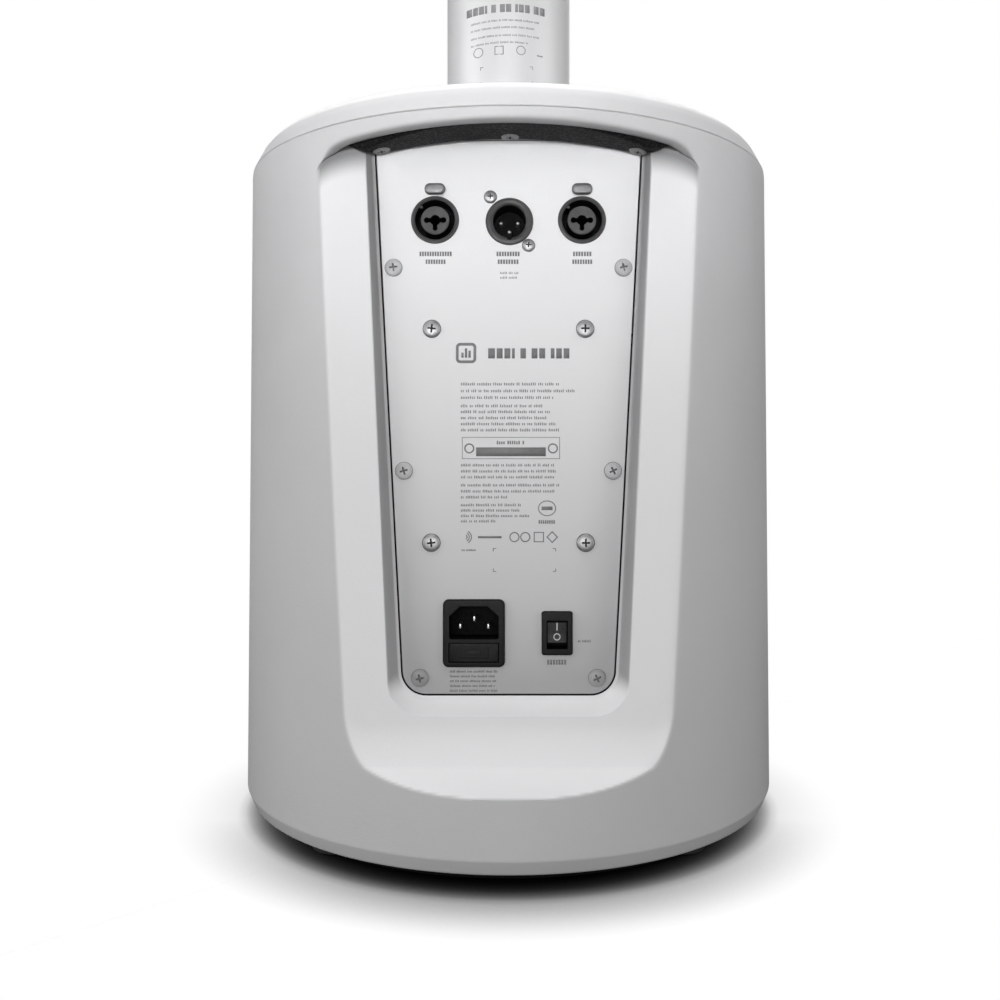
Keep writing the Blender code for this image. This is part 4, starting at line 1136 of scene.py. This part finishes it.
# ---- printed marks --------------------------------------------------------------
class Prints:
    """Thin raised ink shapes, placed by a function from flat to world."""

    def __init__(self, place):
        self.place = place
        self.verts = []
        self.faces = []

    def shape(self, outline):
        start = len(self.verts)
        self.verts += [self.place(x, y) for x, y in outline]
        self.faces.append(tuple(range(start, start + len(outline))))

    def bar(self, x0, y0, x1, y1):
        self.shape([(x0, y0), (x1, y0), (x1, y1), (x0, y1)])

    def strip(self, outer, inner):
        start = len(self.verts)
        count = len(outer)
        self.verts += [self.place(x, y) for x, y in outer + inner]
        for i in range(count):
            j = (i + 1) % count
            self.faces.append((start + i, start + j, start + count + j, start + count + i))

    def frame(self, x0, y0, x1, y1, line):
        outer = [(x0, y0), (x1, y0), (x1, y1), (x0, y1)]
        inner = [(x0 + line, y0 + line), (x1 - line, y0 + line), (x1 - line, y1 - line),
                 (x0 + line, y1 - line)]
        self.strip(outer, inner)

    def ring(self, cx, cy, size, line, steps=24):
        rx, ry = size
        self.strip(arc(cx, cy, rx, ry, 0, 360, steps)[:-1],
                   arc(cx, cy, rx - line, ry - line, 0, 360, steps)[:-1])

    def blocks(self, x, low, high, widths, gap, space):
        """A row of plain blocks; a width of None leaves a wider space."""
        for width in widths:
            if width is None:
                x += space
                continue
            self.bar(x, low, x + width, high)
            x += width + gap

    def words(self, rng, x0, x1, y, tall, fill=0.62):
        """A line of word-like runs of short strokes; no letters are drawn."""
        step = tall * 0.62
        x = x0
        while x < x1 - step:
            letters = rng.randint(2, 8)
            for _ in range(letters):
                if x > x1 - step:
                    break
                low = y - tall / 2
                high = y + tall / 2 * rng.choice((1.0, 0.6, 0.6, 0.6, 1.0))
                self.bar(x, low, x + step * fill, high)
                x += step
            x += step * 0.9

    def corner(self, x, y, sx, sy, size, line):
        self.bar(*sorted_pair(x, x + sx * size, y, y + sy * line))
        self.bar(*sorted_pair(x, x + sx * line, y, y + sy * size))

    def build(self, name, body="cabinet", thickness=0.00004):
        mesh = make_mesh(name, self.verts, self.faces, recalc=False)
        obj = new_object(name, mesh, MAT["print"], body)
        solid = obj.modifiers.new("ink", "SOLIDIFY")
        solid.thickness = thickness
        solid.offset = 0.0
        return obj


def sorted_pair(x0, x1, y0, y1):
    return min(x0, x1), min(y0, y1), max(x0, x1), max(y0, y1)


def label(prints, x, y, widths, tall):
    """Centred lines of block strokes in place of words."""
    for row, width in enumerate(widths):
        letters = max(3, int(round(width / (tall * 0.58))))
        step = width / letters
        base = y - row * tall * 1.75
        for i in range(letters):
            left = x - width / 2 + i * step
            prints.bar(left, base - tall / 2, left + step * 0.68, base + tall / 2)


def make_panel_prints():
    ink = Prints(lambda x, y: tuple(TO_PANEL @ Vector((x, y, 0.00004))))
    rng = random.Random(11)
    for cx, width in ((-0.0372, 0.0168), (0.0, 0.0122), (0.0380, 0.0098)):
        label(ink, cx, 0.1098, (width, 0.0105 if cx else 0.0110), 0.0023)
    for y in (0.1000, 0.0976):
        ink.words(rng, -0.0042, 0.0058, y, 0.0012, 0.5)

    # plain rounded badge with a level-meter sign, and a row of blocks beside it
    badge = rounded_rect(0.0104, 0.0104, 0.0022, -0.0217, 0.0588, 6)
    window = rounded_rect(0.0076, 0.0076, 0.0010, -0.0217, 0.0588, 6)
    ink.strip(badge, window)
    for i, tall in enumerate((0.0026, 0.0048, 0.0036)):
        left = -0.0217 - 0.0024 + i * 0.0018
        ink.bar(left, 0.0564, left + 0.0012, 0.0564 + tall)
    widths = (0.0030, 0.0026, 0.0026, 0.0012, None, 0.0024, None, 0.0026, 0.0026, None,
              0.0016, 0.0025, 0.0025)
    ink.blocks(-0.0104, 0.0560, 0.0612, [w and w * 1.16 for w in widths], 0.0009, 0.0020)

    for y, right in ((0.0429, 0.0262), (0.0394, 0.0345), (0.0360, 0.0240), (0.0317, 0.0185),
                     (0.0287, 0.0225), (0.0256, 0.0205), (0.0225, 0.0245), (0.0194, 0.0268)):
        ink.words(rng, -0.0243, right, y, 0.0015, 0.5)
    ink.frame(-0.0237, 0.0046, 0.0262, 0.0158, 0.0003)
    ink.bar(-0.0165, 0.0060, 0.0190, 0.0105)
    ink.words(rng, -0.0060, 0.0085, 0.0130, 0.0018)
    for cx in (-0.0200, 0.0226):
        ink.ring(cx, 0.0100, (0.0026, 0.0026), 0.0007)
    for y, right in ((0.0015, 0.0236), (-0.0016, 0.0250), (-0.0046, 0.0240), (-0.0087, 0.0262),
                     (-0.0118, 0.0240), (-0.0148, 0.0010), (-0.0188, 0.0075), (-0.0215, 0.0060),
                     (-0.0243, 0.0110), (-0.0270, -0.0060)):
        ink.words(rng, -0.0242, right, y, 0.0014, 0.5)
    ink.ring(0.0196, -0.0205, (0.0046, 0.0040), 0.0005, 32)
    ink.bar(0.0168, -0.0214, 0.0224, -0.0196)
    label(ink, 0.0196, -0.0274, (0.0086,), 0.0018)

    # a row of plain signs: arcs, dash, ring, square, diamond
    for i in range(3):
        r = 0.0014 + 0.0011 * i
        ring = arc(-0.0222, -0.0351, r, r, -60, 60, 10)
        back = arc(-0.0222, -0.0351, r - 0.0005, r - 0.0005, 60, -60, 10)
        ink.shape(ring + back)
    ink.bar(-0.0155, -0.0357, -0.0035, -0.0346)
    for cx in (0.0030, 0.0085):
        ink.ring(cx, -0.0351, (0.0026, 0.0026), 0.0006)
    ink.frame(0.0128, -0.0377, 0.0180, -0.0325, 0.0005)
    ink.strip([(0.0222, -0.0382), (0.0252, -0.0351), (0.0222, -0.0320), (0.0192, -0.0351)],
              [(0.0222, -0.0374), (0.0244, -0.0351), (0.0222, -0.0328), (0.0200, -0.0351)])
    ink.words(rng, -0.0238, -0.0160, -0.0417, 0.0010)
    for x, y, sx, sy in ((-0.0079, -0.0407, 1, -1), (0.0241, -0.0407, -1, -1),
                         (-0.0079, -0.0527, 1, 1), (0.0241, -0.0527, -1, 1)):
        ink.corner(x, y, sx, sy, 0.0017, 0.00035)

    label(ink, 0.0246, -0.0983, (0.0100,), 0.0025)
    ink.words(rng, 0.0352, 0.0424, -0.0877, 0.0012)
    for i in range(5):
        ink.words(rng, -0.0296, -0.0050 - 0.0016 * (i % 2), -0.1030 - 0.0024 * i, 0.0011)
    ink.build("panel_prints")


def on_column(x, z):
    """Point on the rear of the column at a distance across and a height."""
    r = COLUMN_R + 0.00005
    return x, -math.sqrt(r * r - x * x), z


def make_column_prints():
    """A row of plain blocks, four faint lines, plain signs and corner marks."""
    ink = Prints(on_column)
    rng = random.Random(23)
    widths = (0.0034, 0.0030, 0.0030, 0.0013, None, 0.0028, None, 0.0030, 0.0031, None,
              0.0016, 0.0029, 0.0029, None, 0.0030, 0.0030)
    ink.blocks(-0.0252, 0.4747, 0.4794, widths, 0.0006, 0.0018)
    for z, right in ((0.4699, 0.0190), (0.4657, 0.0160), (0.4610, 0.0185), (0.4568, 0.0120)):
        ink.words(rng, -0.0225, right, z, 0.0012, 0.5)
    sign = 0.4521
    ink.ring(-0.0181, sign, (0.0030, 0.0030), 0.0005)
    ink.frame(-0.0083, sign - 0.0026, -0.0029, sign + 0.0026, 0.0005)
    ink.ring(0.0074, sign, (0.0028, 0.0028), 0.0005)
    ink.bar(0.0170, sign - 0.0022, 0.0204, sign - 0.0014)
    for x, sx in ((-0.0169, 1), (0.0145, -1)):
        ink.corner(x, 0.4432, sx, -1, 0.0019, 0.0004)
        ink.corner(x, 0.4325, sx, 1, 0.0019, 0.0004)
    ink.build("column_prints", "battery_column")


# ---- columns ----------------------------------------------------------------------
def tube_profile(low, high):
    inner = COLUMN_R - 0.0025
    edge = 0.0004
    return [(inner, low), (COLUMN_R - edge, low), (COLUMN_R, low + edge), (COLUMN_R, high - edge),
            (COLUMN_R - edge, high), (inner, high)]


def make_tubes():
    mesh = turned("battery_skin", tube_profile(TUBE_LOW[2], TUBE_HIGH[2]), 128)
    add_piece("shell", "battery_tube", "battery_skin", mesh, MAT["tube"], "battery_column")

    profile = tube_profile(SPEAKER_LOW[2], SPEAKER_HIGH[2])
    grille_low, grille_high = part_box("speaker_grille")
    z0 = grille_low[2] - 0.0003
    z1 = grille_high[2] + 0.0003
    outline = rounded_rect(0.0536, z1 - z0, 0.0050, 0, (z0 + z1) / 2, 8)
    tool = loft("window", [[(x, y, z) for x, z in outline] for y in (0.020, 0.050)])
    mesh = cut(turned("speaker_skin", profile, 128), [tool])
    add_piece("shell", "speaker_tube", "speaker_skin", mesh, MAT["tube"], "speaker_column")


def make_column_ends():
    low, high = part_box("column_coupler")
    ring = TUBE_HIGH[2] + 0.0003
    core = COLUMN_R - 0.0028
    profile = [(0, low[2]), (core, low[2]), (core, ring), (COLUMN_R - 0.0005, ring),
               (COLUMN_R - 0.0001, ring + 0.0005), (COLUMN_R - 0.0001, ring + 0.0040),
               (COLUMN_R - 0.0009, ring + 0.0046), (COLUMN_R - 0.0009, ring + 0.0054),
               (COLUMN_R - 0.0001, ring + 0.0060), (COLUMN_R - 0.0001, ring + 0.0095),
               (COLUMN_R - 0.0005, ring + 0.0100), (core, ring + 0.0100), (core, high[2] - 0.0020),
               (core - 0.0020, high[2]), (0.0170, high[2]), (0.0165, high[2] - 0.006),
               (0, high[2] - 0.006)]
    add_piece("black_plastic", "column_coupler", "coupler_skin", turned("coupler_skin", profile, 128),
              MAT["plastic"], "battery_column")

    low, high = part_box("column_end_cap")
    base = SPEAKER_HIGH[2] + 0.0003
    profile = [(0, low[2]), (core, low[2]), (core, base), (COLUMN_R - 0.0003, base),
               (COLUMN_R, base + 0.0004), (COLUMN_R, TOTAL_H - 0.0036)]
    for i in range(1, 8):
        a = math.radians(90 * i / 7)
        profile.append((COLUMN_R - 0.0034 + 0.0034 * math.cos(a),
                        TOTAL_H - 0.0036 + 0.0036 * math.sin(a)))
    profile.append((0, TOTAL_H))
    add_piece("black_plastic", "column_end_cap", "end_cap_skin", turned("end_cap_skin", profile, 128),
              MAT["plastic"], "speaker_column")


def make_socket():
    low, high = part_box("column_socket")
    floor = TUBE_LOW[2] - 0.0003
    top = high[2]
    profile = [(0.0390, floor), (0.0390, top - 0.0008), (0.0398, top), (0.0470, top),
               (0.0480, top - 0.0004), (0.0489, top - 0.0016), (0.0488, TOP_Z + 0.0002),
               (0.0441, TOP_Z + 0.0002), (0.0441, low[2]), (0.0162, low[2]), (0.0162, floor)]
    add_piece("black_plastic", "column_socket", "socket_skin", turned("socket_skin", profile, 128),
              MAT["plastic"], "cabinet")


# ---- perforated grilles --------------------------------------------------------------
def perforated(name, outline, pitch, hole, wrap, thickness):
    """Sheet with hexagonal holes in staggered rows, made flat and then wrapped."""
    half = max(x for x, _ in outline)
    low = min(y for _, y in outline)
    high = max(y for _, y in outline)
    margin = pitch * 1.1
    shrink_x = 1 - margin / half
    shrink_y = 1 - margin / ((high - low) / 2)
    mid = (low + high) / 2
    field = [(x * shrink_x, mid + (y - mid) * shrink_y) for x, y in outline]
    work = bmesh.new()
    corners = {}

    def corner(x, y):
        key = (round(x * 1e5), round(y * 1e5))
        for dx in (-1, 0, 1):
            for dy in (-1, 0, 1):
                if (key[0] + dx, key[1] + dy) in corners:
                    return corners[(key[0] + dx, key[1] + dy)]
        corners[key] = work.verts.new((x, y, 0))
        return corners[key]

    rise = pitch * math.sqrt(3) / 2
    turns = [math.radians(60 * k + 30) for k in range(6)]
    rows = int((high - low) / rise) + 1
    cols = int(half / pitch) + 1
    for row in range(-rows // 2, rows // 2 + 1):
        cy = mid + row * rise
        for col in range(-cols, cols + 1):
            cx = col * pitch + (pitch / 2 if row % 2 else 0.0)
            if not point_in(field, cx, cy):
                continue
            rim = [corner(cx + pitch / math.sqrt(3) * math.cos(a),
                          cy + pitch / math.sqrt(3) * math.sin(a)) for a in turns]
            ring = [work.verts.new((cx + hole / 2 * math.cos(a), cy + hole / 2 * math.sin(a), 0))
                    for a in turns]
            for k in range(6):
                n = (k + 1) % 6
                work.faces.new((rim[k], rim[n], ring[n], ring[k]))
    shared = set(corners.values())
    rim = [e for e in work.edges if len(e.link_faces) == 1 and e.verts[0] in shared
           and e.verts[1] in shared]
    edge = [work.verts.new((x, y, 0)) for x, y in outline]
    loop = [work.edges.new((edge[i], edge[(i + 1) % len(edge)])) for i in range(len(edge))]
    bmesh.ops.triangle_fill(work, edges=rim + loop, use_beauty=True, normal=(0, 0, 1))
    for face in work.faces:
        if face.normal.z < 0:
            face.normal_flip()
    for vert in work.verts:
        vert.co = wrap(vert.co.x, vert.co.y)
    bmesh.ops.recalc_face_normals(work, faces=work.faces)
    mesh = bpy.data.meshes.new(name)
    work.to_mesh(mesh)
    work.free()
    return thickened(mesh, thickness)


def thickened(mesh, thickness):
    host = link_object("host", mesh)
    solid = host.modifiers.new("thick", "SOLIDIFY")
    solid.thickness = thickness
    solid.offset = -1.0
    return applied(host)


def spaced(outline, step):
    """Outline with extra points so that no edge is longer than step."""
    points = []
    for (x0, y0), (x1, y1) in zip(outline, outline[1:] + outline[:1]):
        count = max(1, int(math.hypot(x1 - x0, y1 - y0) / step))
        points += [(x0 + (x1 - x0) * i / count, y0 + (y1 - y0) * i / count) for i in range(count)]
    return points


def make_grille(node, outline, pitch, radius, radius_at, thickness, body):
    """Perforated sheet, laid out flat at one radius and wrapped round the axis."""
    def wrap(x, z):
        r = radius_at(z)
        return r * math.sin(x / radius), r * math.cos(x / radius), z

    name = node.replace("speaker", "column") + "_skin"
    sheet = perforated(name, outline, pitch, pitch * HOLE_SHARE, wrap, thickness)
    add_piece("grille", node, name, sheet, MAT["grille"], body, sharp=40)


def make_foam(name, span, z0, z1, radius_at, steps, body):
    """Thin curved backing behind a grille, span to each side of the front."""
    angles = [-span + 2 * span * i / steps for i in range(steps + 1)]
    rings = []
    for z in (z0, z1):
        r_out = radius_at(z)
        r_in = r_out - 0.0009
        ring = [(r_out * math.sin(a), r_out * math.cos(a), z) for a in angles]
        ring += [(r_in * math.sin(a), r_in * math.cos(a), z) for a in reversed(angles)]
        rings.append(ring)
    add_piece("cone", None, name, loft(name, rings), MAT["foam"], body)


def make_grilles():
    low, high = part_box("front_grille")
    radius = 0.1561
    half = math.radians(59.4) * radius
    mid = (low[2] + high[2]) / 2
    tall = high[2] - low[2] - 0.0006
    outline = spaced(rounded_rect(2 * half, tall, 0.003, 0, mid, 4), 0.005)
    make_grille("front_grille", outline, 0.0060 if FINE else 0.012, radius,
                lambda z: wall_radius(z) - GRILLE_INSET, 0.0014, "cabinet")
    make_foam("front_foam", math.radians(59), low[2] + 0.002, high[2] - 0.002,
              lambda z: wall_radius(z) - 0.0023, 90, "cabinet")

    low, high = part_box("speaker_grille")
    radius_c = COLUMN_R - 0.0003
    half = math.asin(0.0262 / COLUMN_R) * radius_c
    mid = (low[2] + high[2]) / 2
    outline = spaced(rounded_rect(2 * half, high[2] - low[2] - 0.0006, 0.0046, 0, mid, 6), 0.004)
    make_grille("speaker_grille", outline, 0.0044 if FINE else 0.009, radius_c,
                lambda z: radius_c, 0.0010, "speaker_column")
    make_foam("column_foam", math.radians(41), low[2] + 0.002, high[2] - 0.002, lambda z: 0.0368, 24,
              "speaker_column")


# ---- carried-over CAD pieces ------------------------------------------------------------
def finish_inner_nodes():
    looks = {"amplifier_board": "board", "power_supply": "board", "heatsink": "aluminium",
             "baffle": "wood", "port_tube": "plastic", "woofer_frame": "dark_metal",
             "woofer_magnet": "dark_metal", "woofer_surround": "rubber", "woofer_cone": "cone",
             "socket_connector": "plastic", "battery_end_plug": "plastic", "battery_pack": "cell"}
    for i in range(1, 5):
        looks[f"driver_frame_{i}"] = "dark_metal"
        looks[f"driver_cone_{i}"] = "cone"
    for node, look in looks.items():
        slots = NODES[node].material_slots
        for slot in slots:
            slot.material = MAT[look]


# ---- stage ----------------------------------------------------------------------------------
def area_light(name, place, target, size, power, spread=180):
    data = bpy.data.lights.new(name, "AREA")
    data.spread = math.radians(spread)
    data.shape = "RECTANGLE"
    data.size, data.size_y = size
    data.energy = power
    obj = link_object(name, data)
    obj.location = place
    aim = Vector(target) - Vector(place)
    obj.rotation_euler = aim.to_track_quat("-Z", "Y").to_euler()


def by_ray(look_tree, others, seen, output):
    """Shader that the camera sees as one thing and every other ray as another."""
    nodes, links = look_tree.nodes, look_tree.links
    path = nodes.new("ShaderNodeLightPath")
    mix = nodes.new("ShaderNodeMixShader")
    links.new(path.outputs["Is Camera Ray"], mix.inputs["Fac"])
    links.new(others, mix.inputs[1])
    links.new(seen, mix.inputs[2])
    links.new(mix.outputs["Shader"], nodes[output].inputs["Surface"])


def ranged(look, source, limits):
    """Map Range node with its four limits: from low and high, to low and high."""
    node = look.add("ShaderNodeMapRange")
    for socket, value in zip(("From Min", "From Max", "To Min", "To Max"), limits):
        node.inputs[socket].default_value = value
    look.link(source, node.inputs["Value"])
    return node.outputs["Result"]


def shadow(look, reach, power):
    """Ambient occlusion within a reach, raised to a power that is a number or a socket."""
    near = look.add("ShaderNodeAmbientOcclusion", samples=16)
    near.inputs["Distance"].default_value = reach
    node = look.add("ShaderNodeMath", operation="POWER")
    look.link(near.outputs["AO"], node.inputs[0])
    if isinstance(power, float):
        node.inputs[1].default_value = power
    else:
        look.link(power, node.inputs[1])
    return node.outputs["Value"]


def floor_look():
    """White sweep with a soft contact shadow; other rays meet a grey floor."""
    look = Look("floor", shade(0.8), 0.8)
    length = look.add("ShaderNodeVectorMath", operation="LENGTH")
    look.link(look.coord, length.inputs[0])
    around = ranged(look, length.outputs["Value"], FLOOR_RANGE)
    look.link(around, look.shader.inputs["Base Color"])
    axes = look.add("ShaderNodeSeparateXYZ")
    look.link(look.coord, axes.inputs["Vector"])
    depth = ranged(look, axes.outputs["Y"], SHADOW_RANGE)
    product = look.add("ShaderNodeMath", operation="MULTIPLY")
    look.link(shadow(look, SHADOW_REACH, depth), product.inputs[0])
    look.link(shadow(look, CONTACT_REACH, CONTACT_POWER), product.inputs[1])
    glow = look.add("ShaderNodeEmission")
    look.link(product.outputs["Value"], glow.inputs["Strength"])
    by_ray(look.tree, look.shader.outputs["BSDF"], glow.outputs["Emission"], "Material Output")
    return look.mat


def make_stage():
    floor_mesh = make_mesh("floor", [(-60, -60, 0), (60, -60, 0), (60, 60, 0), (-60, 60, 0)],
                           [(0, 1, 2, 3)])
    floor = new_object("floor", floor_mesh, floor_look(), None)
    floor.location.z = -0.0002

    area_light("front_low", (-0.1, -1.5, 0.32), (0, -0.1, 0.28), (0.9, 0.3), 6.4)
    area_light("front_top", (-0.05, -1.3, 0.30), (0, -0.1, 0.47), (0.4, 0.12), 0.19, 24)
    area_light("overhead", (-0.2, -0.1, 3.0), (0, 0, 0.2), (3.0, 3.0), 54)
    area_light("left_side", (-2.4, -0.9, 0.8), (0, 0, 0.2), (1.6, 1.6), 20)
    area_light("right_side", (2.4, -0.9, 0.8), (0, 0, 0.2), (1.6, 1.6), 12.5)
    area_light("back_fill", (0.5, 3.2, 1.8), (0, 0, 0.6), (2.5, 2.0), 20)

    world = bpy.data.worlds.new("studio")
    bpy.context.scene.world = world
    world.use_nodes = True
    nodes = world.node_tree.nodes
    ground = nodes["Background"]
    bright = nodes.new("ShaderNodeBackground")
    for node, strength in ((ground, 0.22), (bright, 1.0)):
        node.inputs["Color"].default_value = (1, 1, 1, 1)
        node.inputs["Strength"].default_value = strength
    by_ray(world.node_tree, ground.outputs["Background"], bright.outputs["Background"], "World Output")
    bpy.context.scene.view_settings.view_transform = "Standard"


def make_camera():
    """Level camera close behind the cabinet, a little over mid height."""
    data = bpy.data.cameras.new("camera")
    data.sensor_width = CAMERA_LENS
    data.lens = CAMERA_LENS
    data.shift_x, data.shift_y = CAMERA_SHIFT
    data.clip_start = 0.02
    camera = link_object("camera", data)
    camera.location = CAMERA_PLACE
    camera.rotation_euler = (math.pi / 2, 0, 0)
    bpy.context.scene.camera = camera


def main():
    make_camera()
    make_shell()
    make_cap()
    make_plinth()
    make_grip()
    make_panel()
    make_panel_screws()
    for side in JACKS:
        make_jack(side)
        make_tab(side)
    make_output()
    make_inlet()
    make_drawer()
    make_switch()
    make_panel_prints()
    make_column_prints()
    make_tubes()
    make_column_ends()
    make_socket()
    make_grilles()
    finish_inner_nodes()
    make_stage()


main()
